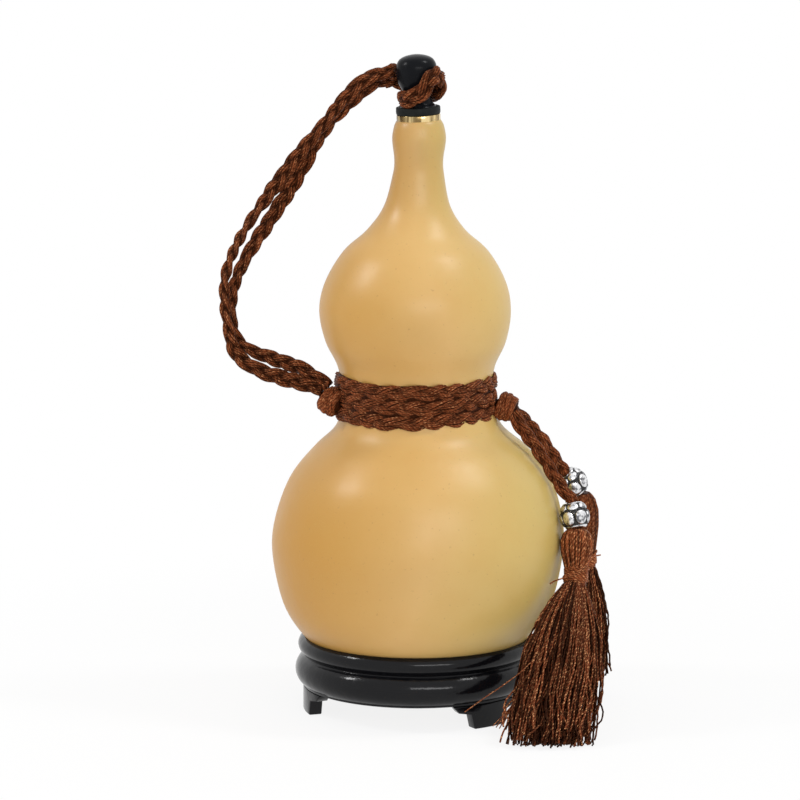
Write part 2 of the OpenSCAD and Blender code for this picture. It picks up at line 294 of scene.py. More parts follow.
@dataclass(frozen=True)
class GourdRind:
    """Dry, hand-rubbed gourd rind: orange-tan on one side, paler yellow on the other."""

    warm: Color = (0.535, 0.262, 0.036)
    middle: Color = (0.68, 0.425, 0.152)
    pale: Color = (0.6, 0.44, 0.135)
    speck_and_shade: Color = (0.30, 0.15, 0.05)
    roughness: float = 0.38

    def material(self) -> bpy.types.Material:
        """Builds the material."""
        tree = Tree("gourd_rind")
        coordinates = tree.coordinates()
        drift = tree.noise(9.0, 2.0) - 0.5
        neck = tree.axis(coordinates, 2).step(0.196, 0.226)
        side = tree.axis(coordinates, 0) * (neck * 30.0 + 8.3) + 0.5 + drift * 0.5
        base = tree.ramp(side.clamp(), [(0.04, self.warm), (0.5, self.middle), (0.93, self.pale)])
        cloud = tree.noise(38.0, 4.0, 0.6).step(0.35, 0.72)
        base = tree.mix(cloud * 0.16, base, self.warm)
        grain = tree.noise(1500.0, 3.0, 0.7)
        base = tree.mix(grain.step(0.5, 0.85) * 0.22, base, self.pale)
        pores = tree.noise(900.0, 2.0, 0.4).step(0.68, 0.78)
        base = tree.mix(pores * 0.3, base, self.speck_and_shade)
        # Painted shade low down, where the rind sinks into the stand's seat; the neck only gets a darker
        # tone.
        foot = 1.0 - tree.axis(coordinates, 2).step(0.012, 0.04)
        base = tree.mix(foot * 0.35 + neck * 0.2, base, self.speck_and_shade)
        relief = tree.noise(120.0, 3.0) * 0.7 + grain * 0.06 - pores * 0.12
        rough = tree.noise(60.0, 3.0) * 0.14 + (self.roughness - 0.07)
        return tree.finish(
            Base_Color=base,
            Roughness=rough,
            Specular_IOR_Level=0.42,
            Normal=tree.bump(relief, 0.0006, 0.35),
            Subsurface_Weight=0.04,
            Subsurface_Scale=0.003,
        )


@dataclass(frozen=True)
class SilkThread:
    """Twisted silky thread, read from its own UV map, with painted glints, and darkened by painted shade that
    the mesh carries as an attribute.

    The map's U goes once round the thread, and V is the distance along it in millimetres.
    """

    name: str
    dark: Color
    middle: Color
    light: Color
    slant: float
    painted_glints: float
    depth: float = 0.0001
    roughness: float = 0.5
    specular: float = 0.1

    def material(self) -> bpy.types.Material:
        """Builds the material."""
        tree = Tree(self.name)
        place = tree.node("ShaderNodeTexCoord", output="UV")
        around, along = tree.axis(place, 0), tree.axis(place, 1)
        painted_shade = tree.attribute("painted_shade")
        wander = tree.noise(0.35, 2.0, at=place) * 1.6
        ridge = ((around * 2.0 + along * self.slant + wander) * TAU).sine() * 0.5 + 0.5
        fray = tree.noise(950.0, 3.0, 0.65)
        shade = tree.noise(240.0, 3.0, 0.6)
        # Painted highlight: bright glints where the thread's ridges meet streaks, in the highlight colour.
        streak = tree.noise(1.0, 3.0, 0.6, tree.scaled(place, (5.0, 0.55, 1.0)))
        painted_glint = ridge.step(0.1, 0.8) * streak.step(0.5, 0.66)
        # Painted shade in the twist's grooves, with a random mottle from the shade noise.
        wear_and_shade = ridge.step(0.0, 0.7) * 0.45 + shade.step(0.3, 0.65) * 0.35 + 0.2
        base = tree.mix(wear_and_shade, self.dark, self.middle)
        base = tree.mix((painted_glint * self.painted_glints).clamp(), base, self.light)
        # Painted shade from the mesh: deep, inner and hidden threads are darkened.
        base = tree.mix(painted_shade.clamp() * 0.94, base, self.dark)
        height = ridge * 0.8 + fray * 0.35
        return tree.finish(
            Base_Color=base,
            Roughness=fray * 0.2 + (self.roughness - 0.1),
            Specular_IOR_Level=self.specular,
            Specular_Tint=self.light,
            Normal=tree.bump(height, self.depth, 0.9),
        )


@dataclass(frozen=True)
class PolishedBrass:
    """Turned and polished brass with fine circular scratches, stains and painted dark reflection bands."""

    color: Color = (0.86, 0.66, 0.33)
    stain: Color = (0.42, 0.25, 0.08)
    shade: Color = (0.16, 0.1, 0.035)

    def material(self) -> bpy.types.Material:
        """Builds the material."""
        tree = Tree("polished_brass")
        turned = tree.scaled(tree.coordinates(), (300.0, 300.0, 9000.0))
        scratch = tree.noise(1.0, 2.0, at=turned)
        stain = tree.noise(420.0, 4.0, 0.65).step(0.52, 0.75)
        # Painted reflection: upright dark bands, as a polished cylinder mirrors dark surroundings.
        upright = tree.scaled(tree.coordinates(), (230.0, 230.0, 14.0))
        bands = tree.noise(1.0, 3.0, 0.6, upright).step(0.4, 0.52)
        painted_reflection_bands = tree.mix(bands * 0.9, self.color, self.shade)
        return tree.finish(
            Base_Color=tree.mix(stain * 0.5, painted_reflection_bands, self.stain),
            Metallic=1.0,
            Roughness=scratch * 0.12 + stain * 0.12 + 0.14,
            Normal=tree.bump(scratch, 0.00004, 0.5),
        )


@dataclass(frozen=True)
class GlossBlack:
    """Black glossy surface, a polished knob or a lacquered wood, with faint ripples and dust."""

    name: str
    color: Color
    dust: Color
    roughness: float
    ripple_scale: float
    ripple: float
    specular: float

    def material(self) -> bpy.types.Material:
        """Builds the material."""
        tree = Tree(self.name)
        ripple = tree.noise(self.ripple_scale, 3.0, 0.55)
        specks = tree.noise(2600.0, 2.0).step(0.7, 0.8)
        scuff = tree.noise(150.0, 5.0, 0.7).step(0.52, 0.8)
        return tree.finish(
            Base_Color=tree.mix(specks * 0.25 + scuff * 0.12, self.color, self.dust),
            Roughness=scuff * 0.16 + self.roughness,
            Specular_IOR_Level=self.specular,
            Normal=tree.bump(ripple + specks * 0.03, self.ripple, 0.5),
        )


@dataclass(frozen=True)
class MattBlack:
    """Matt black rubber with a fine moulded grain."""

    color: Color = (0.006, 0.007, 0.0065)
    bloom: Color = (0.02, 0.021, 0.02)

    def material(self) -> bpy.types.Material:
        """Builds the material."""
        tree = Tree("matt_rubber")
        grain = tree.noise(3200.0, 2.0, 0.6)
        bloom = tree.noise(260.0, 4.0, 0.6).step(0.45, 0.8)
        return tree.finish(
            Base_Color=tree.mix(bloom * 0.5, self.color, self.bloom),
            Roughness=grain * 0.2 + 0.48,
            Specular_IOR_Level=0.15,
            Normal=tree.bump(grain, 0.00005, 0.5),
        )


@dataclass(frozen=True)
class AntiqueSilver:
    """Embossed silver, bright on the relief and blackened in the recesses.

    The attribute "recess" is 1 at the bottom of a recess and 0 on the relief.
    """

    bright: Color = (0.82, 0.82, 0.83)
    wear_and_shade: Color = (0.075, 0.075, 0.085)
    black: Color = (0.012, 0.011, 0.011)

    def material(self) -> bpy.types.Material:
        """Builds the material."""
        tree = Tree("antique_silver")
        recess = tree.attribute("recess")
        spread = tree.noise(1400.0, 3.0, 0.6)
        dark = (recess + (spread - 0.5) * 0.4).step(0.3, 0.62)
        wear = tree.noise(420.0, 3.0, 0.6).step(0.46, 0.62)
        metal = tree.mix(wear * 0.9, self.bright, self.wear_and_shade)
        dent = tree.noise(1100.0, 2.0)
        return tree.finish(
            Base_Color=tree.mix(dark, metal, self.black),
            Metallic=1.0 - dark * 0.85,
            Roughness=dark * 0.35 + spread * 0.16 + 0.14,
            Normal=tree.bump(dent, 0.0001, 0.6),
        )


@dataclass(frozen=True)
class PlainCoat:
    """Quiet finish with a soft mottle, for pieces inside the bottle."""

    name: str
    color: Color
    mottle: Color
    roughness: float
    scale: float = 220.0

    def material(self) -> bpy.types.Material:
        """Builds the material."""
        tree = Tree(self.name)
        cloud = tree.noise(self.scale, 4.0, 0.6)
        return tree.finish(
            Base_Color=tree.mix(cloud.step(0.35, 0.75) * 0.7, self.color, self.mottle),
            Roughness=cloud * 0.16 + (self.roughness - 0.08),
            Normal=tree.bump(cloud, 0.0001, 0.5),
        )


@dataclass(frozen=True)
class StudioWhite:
    """White floor that glows for the camera and for reflections, and keeps a soft shadow near the stand."""

    color: Color = (0.94, 0.94, 0.94)
    glow_share: float = 0.86
    shadow_reach: float = 0.34

    def material(self) -> bpy.types.Material:
        """Builds the material."""
        tree = Tree("studio_white")
        diffuse = tree.node("ShaderNodeBsdfDiffuse", inputs={"Color": self.color})
        glow = tree.node("ShaderNodeEmission", inputs={"Color": (1.0, 1.0, 1.0), "Strength": 1.0})
        camera, glossy, through = (tree.ray(kind) for kind in ("Camera", "Glossy", "Transmission"))
        seen = (camera + glossy + through).clamp()
        away = tree.node("ShaderNodeVectorMath", {"operation": "LENGTH"}, {0: tree.coordinates()}, "Value")
        spread = away.step(self.shadow_reach * 0.5, self.shadow_reach)
        share = spread * (1.0 - self.glow_share) + self.glow_share
        return tree.end(tree.node("ShaderNodeMixShader", inputs={0: seen * share, 1: diffuse, 2: glow}))


@dataclass(frozen=True)
class Finish:
    """Material of a piece, and the record's slot that it fills."""

    material: bpy.types.Material
    slot: Slot


class Finishes:
    """Every finish of the bottle, built once."""

    def __init__(self) -> None:
        """Builds the materials."""
        # Each thread's pale colour is both its painted glint colour and its specular tint.
        dark, light = (0.02, 0.005, 0.0022), (0.85, 0.4, 0.18)
        plait = SilkThread("plait_thread", dark, (0.32, 0.085, 0.03), light, slant=0.55, painted_glints=0.75)
        head = SilkThread("head_thread", dark, (0.33, 0.09, 0.032), light, slant=0.5, painted_glints=1.0)
        yarn = SilkThread(
            "tassel_thread",
            (0.012, 0.003, 0.0018),
            (0.23, 0.057, 0.022),
            (1.0, 0.5, 0.23),
            slant=0.6,
            painted_glints=1.0,
        )
        knob = GlossBlack(
            "polished_knob",
            (0.006, 0.0065, 0.008),
            (0.05, 0.05, 0.055),
            roughness=0.24,
            ripple_scale=260.0,
            ripple=0.00012,
            specular=0.07,
        )
        lacquer = GlossBlack(
            "black_lacquer",
            (0.0035, 0.0035, 0.0045),
            (0.04, 0.04, 0.043),
            roughness=0.15,
            ripple_scale=150.0,
            ripple=0.0004,
            specular=0.22,
        )
        coat = PlainCoat("resin_coat", (0.16, 0.07, 0.025), (0.09, 0.035, 0.012), roughness=0.45)
        silicone = PlainCoat("clear_silicone", (0.62, 0.62, 0.58), (0.54, 0.54, 0.5), roughness=0.4)
        dowel = PlainCoat("dowel_wood", (0.45, 0.29, 0.15), (0.33, 0.2, 0.09), roughness=0.6)
        self.rind = Finish(GourdRind().material(), Slot.GOURD)
        self.plait = Finish(plait.material(), Slot.CORD)
        self.head_yarn = Finish(head.material(), Slot.YARN)
        self.yarn = Finish(yarn.material(), Slot.YARN)
        self.brass = Finish(PolishedBrass().material(), Slot.BRASS)
        self.knob = Finish(knob.material(), Slot.GLOSS)
        self.lacquer = Finish(lacquer.material(), Slot.LACQUER)
        self.rubber = Finish(MattBlack().material(), Slot.RUBBER)
        self.silver = Finish(AntiqueSilver().material(), Slot.SILVER)
        self.coat = Finish(coat.material(), Slot.COAT)
        self.silicone = Finish(silicone.material(), Slot.SILICONE)
        self.dowel = Finish(dowel.material(), Slot.DOWEL)


class Bench:
    """Blender's modelling operators, each started from a clean selection, and the fitting of pieces."""

    @staticmethod
    def clear() -> None:
        """Leaves edit mode and deselects everything."""
        if bpy.context.object and bpy.context.object.mode != "OBJECT":
            bpy.ops.object.mode_set(mode="OBJECT")
        bpy.ops.object.select_all(action="DESELECT")

    @staticmethod
    def activate(piece: Piece) -> None:
        """Makes one object the active and only selected one."""
        Bench.clear()
        bpy.context.view_layer.objects.active = piece
        piece.select_set(True)

    @staticmethod
    def named(name: str) -> Piece:
        """Names the object that an operator has just added.

        Args:
            name: Name of the piece.

        Returns:
            The object.
        """
        piece = bpy.context.object
        piece.name = name
        piece.data.name = name
        return piece

    @staticmethod
    def turn(name: str, stations: Pairs, sides: int = 96, closed: bool = False) -> Piece:
        """Extrudes a circle through stations, as a lathe would turn the piece.

        Args:
            name: Name of the piece.
            stations: Radius and height of each ring, in metres.
            sides: Sides of the circle.
            closed: Whether the last ring joins the first, as on a ring with a hole.

        Returns:
            The turned piece round the Z axis, with its place in its mesh.
        """
        Bench.clear()
        radius, height = stations[0]
        bpy.ops.mesh.primitive_circle_add(
            vertices=sides,
            radius=radius,
            fill_type="NOTHING" if closed else "NGON",
            location=(0, 0, height),
        )
        piece = Bench.named(name)
        bpy.ops.object.transform_apply(location=True, rotation=True, scale=True)
        bpy.ops.object.mode_set(mode="EDIT")
        bpy.ops.mesh.select_all(action="SELECT")
        for (r0, z0), (r1, z1) in zip(stations, stations[1:]):
            bpy.ops.mesh.extrude_region_move(TRANSFORM_OT_translate={"value": (0, 0, z1 - z0)})
            bpy.ops.transform.resize(value=(r1 / r0, r1 / r0, 1.0), center_override=(0, 0, z1))
        bpy.ops.mesh.select_all(action="SELECT")
        bpy.ops.mesh.remove_doubles(threshold=WELD_DISTANCE)
        bpy.ops.mesh.normals_make_consistent(inside=False)
        bpy.ops.object.mode_set(mode="OBJECT")
        return piece

    @staticmethod
    def smooth(piece: Piece, angle: float) -> None:
        """Shades a piece smooth below an angle in degrees."""
        Bench.activate(piece)
        bpy.ops.object.shade_smooth_by_angle(angle=math.radians(angle))

    @staticmethod
    def apply(piece: Piece, kind: str, **settings: float) -> None:
        """Adds a modifier and applies it.

        Args:
            piece: Piece that is modified.
            kind: Blender's type name of the modifier.
            settings: Attributes of the modifier.
        """
        Bench.activate(piece)
        modifier = piece.modifiers.new(kind.title(), kind)
        for key, value in settings.items():
            setattr(modifier, key, value)
        bpy.ops.object.modifier_apply(modifier=modifier.name)

    @staticmethod
    def lean(piece: Piece, matrix: Matrix) -> None:
        """Moves a piece's mesh by a matrix and leaves the object at the origin."""
        piece.data.transform(matrix)
        piece.data.update()

    @staticmethod
    def vertices(mesh: bpy.types.Mesh) -> np.ndarray:
        """Reads the places of a mesh's vertices.

        Args:
            mesh: The mesh.

        Returns:
            The places, one row each.
        """
        places = np.empty(len(mesh.vertices) * 3)
        mesh.vertices.foreach_get("co", places)
        return places.reshape(-1, 3)

    @staticmethod
    def dress(piece: Piece, finish: Finish) -> None:
        """Gives a piece its material."""
        piece.data.materials.clear()
        piece.data.materials.append(finish.material)

    @staticmethod
    def fit(piece: Piece, finish: Finish, body: str, *nodes: str) -> Piece:
        """Dresses a piece, hides the solids that it replaces and hangs it on the empty of the body that it
        rides.

        Args:
            piece: The finished shape.
            finish: Its finish.
            body: The body that it rides.
            nodes: The solids that it replaces.

        Returns:
            The same piece.
        """
        Bench.dress(piece, finish)
        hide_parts(*nodes)
        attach(piece, body)
        return piece


def unit_rows(rows: np.ndarray) -> np.ndarray:
    """Rows scaled to a length of 1."""
    return rows / np.maximum(np.linalg.norm(rows, axis=1, keepdims=True), 1e-12)


def headings(points: np.ndarray) -> np.ndarray:
    """Unit directions along a row of points.

    Args:
        points: The points, one row each.

    Returns:
        One direction for each point.
    """
    ahead = np.empty_like(points)
    ahead[1:-1] = points[2:] - points[:-2]
    ahead[0] = points[1] - points[0]
    ahead[-1] = points[-1] - points[-2]
    return unit_rows(ahead)


def crossings(points: np.ndarray, face: np.ndarray) -> tuple[np.ndarray, np.ndarray]:
    """Unit directions square to a row of points.

    Args:
        points: The points, one row each.
        face: Direction that is kept as nearly as it can be, one for all points or one for each.

    Returns:
        Directions across the face, and directions out of it.
    """
    ahead = headings(points)
    across = unit_rows(np.cross(ahead, face))
    return across, np.cross(across, ahead)


def distances(points: np.ndarray) -> np.ndarray:
    """Distance of each point from the first one, along the row."""
    return np.concatenate([[0.0], np.cumsum(np.linalg.norm(np.diff(points, axis=0), axis=1))])


def curve_through(points: list[np.ndarray], per_span: int) -> list[np.ndarray]:
    """Samples a smooth curve through all points but the first and the last, which only steer it.

    Args:
        points: At least four points.
        per_span: Samples from one point to the next.

    Returns:
        The samples, up to the last point but one.
    """
    samples = []
    for a, b, c, d in zip(points, points[1:], points[2:], points[3:]):
        for k in range(per_span):
            t = k / per_span
            square = (2 * a - 5 * b + 4 * c - d) * t * t
            cube = (3 * b - a - 3 * c + d) * t**3
            samples.append(0.5 * (2 * b + (c - a) * t + square + cube))
    return [*samples, points[-2]]


def rounded(outline: Pairs) -> list[np.ndarray]:
    """Smooth outline of a turned piece, whose first and last point only steer it."""
    return curve_through([np.array(q, float) for q in outline], OUTLINE_SAMPLES)


class Path:
    """Smooth curve through points, measured along its length."""

    def __init__(self, points: list[Point]) -> None:
        """Samples a curve through all points, the same one as the construction's.

        Args:
            points: Points in metres.
        """
        p = [np.array(q, float) for q in points]
        steered = [2 * p[0] - p[1], *p, 2 * p[-1] - p[-2]]
        self.samples = np.array(curve_through(steered, ROUTE_SAMPLES))
        self.at = distances(self.samples)
        self.length = float(self.at[-1])

    def points(self, step: float) -> np.ndarray:
        """Points at an even step along the curve.

        Args:
            step: Wanted distance between points, in metres.

        Returns:
            Points, one row each.
        """
        count = max(2, int(round(self.length / step)) + 1)
        s = np.linspace(0.0, self.length, count)
        return np.stack([np.interp(s, self.at, self.samples[:, k]) for k in range(3)], axis=1)


class Spindle:
    """Straight line from one point to another, with a sideways direction and one in depth."""

    def __init__(self, start: Point, end: Point) -> None:
        """Lays the line.

        Args:
            start: Its first point.
            end: Its last point.
        """
        self.start = Vector(start)
        run = Vector(end) - self.start
        self.length = run.length
        self.axis = run.normalized()
        self.wide = self.axis.cross(Vector((0, 1, 0))).normalized()
        self.deep = self.wide.cross(self.axis)

    def at(self, share: float, x: float = 0.0, y: float = 0.0) -> Vector:
        """Point at a share of the length, moved sideways by x and in depth by y."""
        return self.start + self.axis * (share * self.length) + self.wide * x + self.deep * y

    def round(self, share: float, radius: float, angle: float) -> Vector:
        """Point at a share of the length, at an angle round the line."""
        return self.at(share, radius * math.cos(angle), radius * math.sin(angle))


class Skein:
    """Mesh of many tubes, with a UV map and painted shade for each tube.

    ASKEW is a direction that no tube runs along, from which round tubes take their sections.
    """

    ASKEW = np.array([0.31, 0.87, 0.38])

    def __init__(self, name: str) -> None:
        """Starts an empty mesh.

        Args:
            name: Name of the piece.
        """
        self.name = name
        self.vertices: list[np.ndarray] = []
        self.faces: list[np.ndarray] = []
        self.uvs: list[np.ndarray] = []
        self.painted_shades: list[np.ndarray] = []
        self.caps: list[tuple[list[int], float]] = []
        self.count = 0

    def tube(
        self,
        points: np.ndarray,
        radius: np.ndarray | float,
        sides: int,
        face: np.ndarray | None = None,
        flat: np.ndarray | float = 1.0,
        painted_shade: np.ndarray | float = 0.0,
        start: float = 0.0,
    ) -> None:
        """Adds one tube with closed ends.

        Args:
            points: Centres of its rings.
            radius: Radius at each ring, or one radius.
            sides: Sides of the section.
            face: Direction out of the flat side at each ring, or None for a round tube.
            flat: Thickness across the flat side as a share of the width.
            painted_shade: Painted shade from 0 to 1 at each ring, or one for all.
            start: Distance in millimetres at the first ring, for the UV map.
        """
        n = len(points)
        across, out = crossings(points, self.ASKEW if face is None else face)
        angle = TAU * np.arange(sides) / sides
        r = np.broadcast_to(np.asarray(radius, float), (n,))[:, None, None]
        ring = np.cos(angle)[None, :, None] * across[:, None, :]
        depth = np.broadcast_to(np.asarray(flat, float), (n,))[:, None, None]
        ring = ring + depth * np.sin(angle)[None, :, None] * out[:, None, :]
        self.vertices.append((points[:, None, :] + r * ring).reshape(-1, 3))
        i = np.arange(n - 1)[:, None] * sides
        k = np.arange(sides)[None, :]
        nxt = (k + 1) % sides
        quads = np.stack([i + k, i + nxt, i + nxt + sides, i + k + sides], axis=2).reshape(-1, 4)
        self.faces.append(quads + self.count)
        along = start + 1000.0 * distances(points)
        low, high = along[:-1, None], along[1:, None]
        corners = [(k / sides, low), ((k + 1) / sides, low), ((k + 1) / sides, high), (k / sides, high)]
        uv = [np.stack(np.broadcast_arrays(u, v), axis=2) for u, v in corners]
        self.uvs.append(np.stack(uv, axis=2).reshape(-1, 2))
        self.painted_shades.append(np.repeat(np.broadcast_to(np.asarray(painted_shade, float), (n,)), sides))
        first = [self.count + j for j in reversed(range(sides))]
        last = [self.count + (n - 1) * sides + j for j in range(sides)]
        self.caps += [(first, along[0]), (last, along[-1])]
        self.count += n * sides

    def build(self) -> Piece:
        """Makes the object.

        Returns:
            The object, smooth, at the origin.
        """
        quads = np.concatenate(self.faces)
        mesh = bpy.data.meshes.new(self.name)
        faces = quads.tolist() + [cap for cap, _ in self.caps]
        mesh.from_pydata(np.concatenate(self.vertices).tolist(), [], faces)
        uv = mesh.uv_layers.new(name="UVMap")
        caps = [(0.5, along) for cap, along in self.caps for _ in cap]
        flat = np.concatenate([np.concatenate(self.uvs), np.array(caps)]).astype(np.float32)
        uv.data.foreach_set("uv", flat.ravel())
        # The painted shade goes to the mesh as a per-vertex attribute that the thread material reads.
        attribute = mesh.attributes.new("painted_shade", "FLOAT", "POINT")
        attribute.data.foreach_set("value", np.concatenate(self.painted_shades).astype(np.float32))
        mesh.polygons.foreach_set("use_smooth", np.ones(len(mesh.polygons), bool))
        mesh.update()
        piece = bpy.data.objects.new(self.name, mesh)
        bpy.context.scene.collection.objects.link(piece)
        return piece


@dataclass
class Strand:
    """Bundle of fine threads laid round an oval core, which is painted fully dark as shade."""

    wide: np.ndarray | float
    thick: float
    threads: int = 9
    lay: float = 42.0 * MM
    shadow: float = 1.0
    fineness: float = 0.148
    wander_length: float = 0.019
    loose_length: float = 0.013

    def add(
        self,
        skein: Skein,
        points: np.ndarray,
        face: np.ndarray,
        rng: random.Random,
        depth: np.ndarray | None = None,
    ) -> None:
        """Adds the bundle to a skein.

        Args:
            skein: Mesh that takes the threads.
            points: Points along the bundle's middle.
            face: Direction out of its flat side at each point.
            rng: Source of its small irregularities.
            depth: Middle line of the whole plait, its directions across and out, and its half sizes, as
                columns for each point, or None where the bundle lies open.
        """
        across, out = crossings(points, face)
        s = distances(points)
        fine = self.fineness * (self.wide + self.thick)
        a, b = self.wide - fine, self.thick - fine
        # The core carries full painted shade, so gaps between threads read as dark.
        skein.tube(points, a, 8, out, b / a, painted_shade=1.0)
        shade = rng.uniform(0.0, 0.12)
        turn = rng.uniform(0, TAU)
        for k in range(self.threads):
            phase = rng.uniform(0, TAU)
            wander = 0.12 * np.sin(TAU * s / self.wander_length + phase)
            angle = turn + TAU * (k / self.threads + s / self.lay) + wander
            loose = 1 + 0.05 * np.sin(TAU * s / self.loose_length + 2.3 * phase)
            side = (a * np.cos(angle) * loose)[:, None]
            rise = (b * np.sin(angle) * loose)[:, None]
            line = points + across * side + out * rise
            # Painted shade at the bundle's sides, where it meets the next one, over a small random darkening.
            painted_shade = shade + rng.uniform(0.0, 0.3) + 0.5 * self.shadow * np.abs(np.cos(angle)) ** 4
            # Painted shade for threads that lie deep inside the plait.
            if depth is not None:
                offset = line - depth[:, 0:3]
                x = np.sum(offset * depth[:, 3:6], axis=1) / depth[:, 9]
                y = np.sum(offset * depth[:, 6:9], axis=1) / depth[:, 10]
                painted_shade = painted_shade + self.shadow * np.clip((0.95 - np.hypot(x, y)) * 1.6, 0.0, 1.0)
            skein.tube(line, fine, 5, out, 1.0, painted_shade, rng.uniform(0, 40))


@dataclass
class Plait:
    """Flat plait of three strands, swept along a row of points."""

    width: float = 6.1 * MM
    thickness: float = 3.5 * MM
    pitch: float = 24.0 * MM
    ring_step: float = 0.8 * MM
    looseness: float = 0.14
    fullness: float = 0.262
    shadow: float = 1.0
    strand_share: float = 0.30
    slack_lengths: tuple[float, float] = (0.037, 0.023)
    uneven_length: float = 0.031

    def add(
        self,
        skein: Skein,
        points: np.ndarray,
        face: np.ndarray,
        rng: random.Random,
        phase: float = 0.0,
        width: np.ndarray | None = None,
    ) -> None:
        """Adds the three strands to a skein.

        Args:
            skein: Mesh that takes the strands.
            points: Points along the middle of the plait, a ring step apart.
            face: Direction out of the plait's flat side at each point.
            rng: Source of the plait's small irregularities.
            phase: Where in its pitch the plait starts, in turns.
            width: Its width at each point, where it isn't the same all along.
        """
        across, out = crossings(points, face)
        s = distances(points)
        full = np.full(len(points), self.width) if width is None else width
        wide = full * self.fullness
        thick = self.thickness * self.strand_share
        sway = full / 2 - wide
        lift = self.thickness / 2 - thick
        wobble = [rng.uniform(0, TAU) for _ in range(4)]
        # The plait's middle and half sizes, from which threads deep inside get painted shade.
        half = np.stack([full / 2, np.full(len(points), self.thickness / 2)], axis=1) - 0.25 * MM
        depth = np.concatenate([points, across, out, half], axis=1)
        for strand in range(3):
            long, short = (TAU * s / length for length in self.slack_lengths)
            slack = np.sin(long + wobble[0]) + np.sin(short + wobble[1])
            t = TAU * (s / self.pitch + phase + strand / 3) + self.looseness * slack
            uneven = np.sin(TAU * s / self.uneven_length + wobble[2] + strand)
            side = sway * np.sin(t) * (1 + 0.6 * self.looseness * uneven)
            rise = lift * np.sin(2 * t)
            centre = points + across * side[:, None] + out * rise[:, None]
            bundle = Strand(wide * rng.uniform(0.95, 1.05), thick, shadow=self.shadow)
            bundle.add(skein, centre, out, rng, depth)


def front_faces(points: np.ndarray, turns: list[tuple[float, ...]]) -> np.ndarray:
    """Directions towards the front, square to a path, turned about it.

    Args:
        points: Points along the path.
        turns: Share of the length and turn about the path there, in degrees, and whatever else the row holds.

    Returns:
        One unit direction for each point.
    """
    side, out = crossings(points, np.array([0.0, -1.0, 0.0]))
    shares, degrees = list(zip(*turns))[:2]
    a = np.radians(np.interp(np.linspace(0.0, 1.0, len(points)), shares, degrees))[:, None]
    return out * np.cos(a) + side * np.sin(a)


def lengthened(points: np.ndarray, before: float, after: float, step: float) -> np.ndarray:
    """Points of a path with a straight run added at both ends.

    Args:
        points: Points a step apart.
        before: Length added before the first point.
        after: Length added after the last point.
        step: Distance between points.

    Returns:
        The longer row of points.
    """
    ahead = headings(points)
    first = [points[0] - ahead[0] * step * k for k in range(int(before / step), 0, -1)]
    last = [points[-1] + ahead[-1] * step * k for k in range(1, int(after / step) + 1)]
    return np.array([*first, *points, *last])


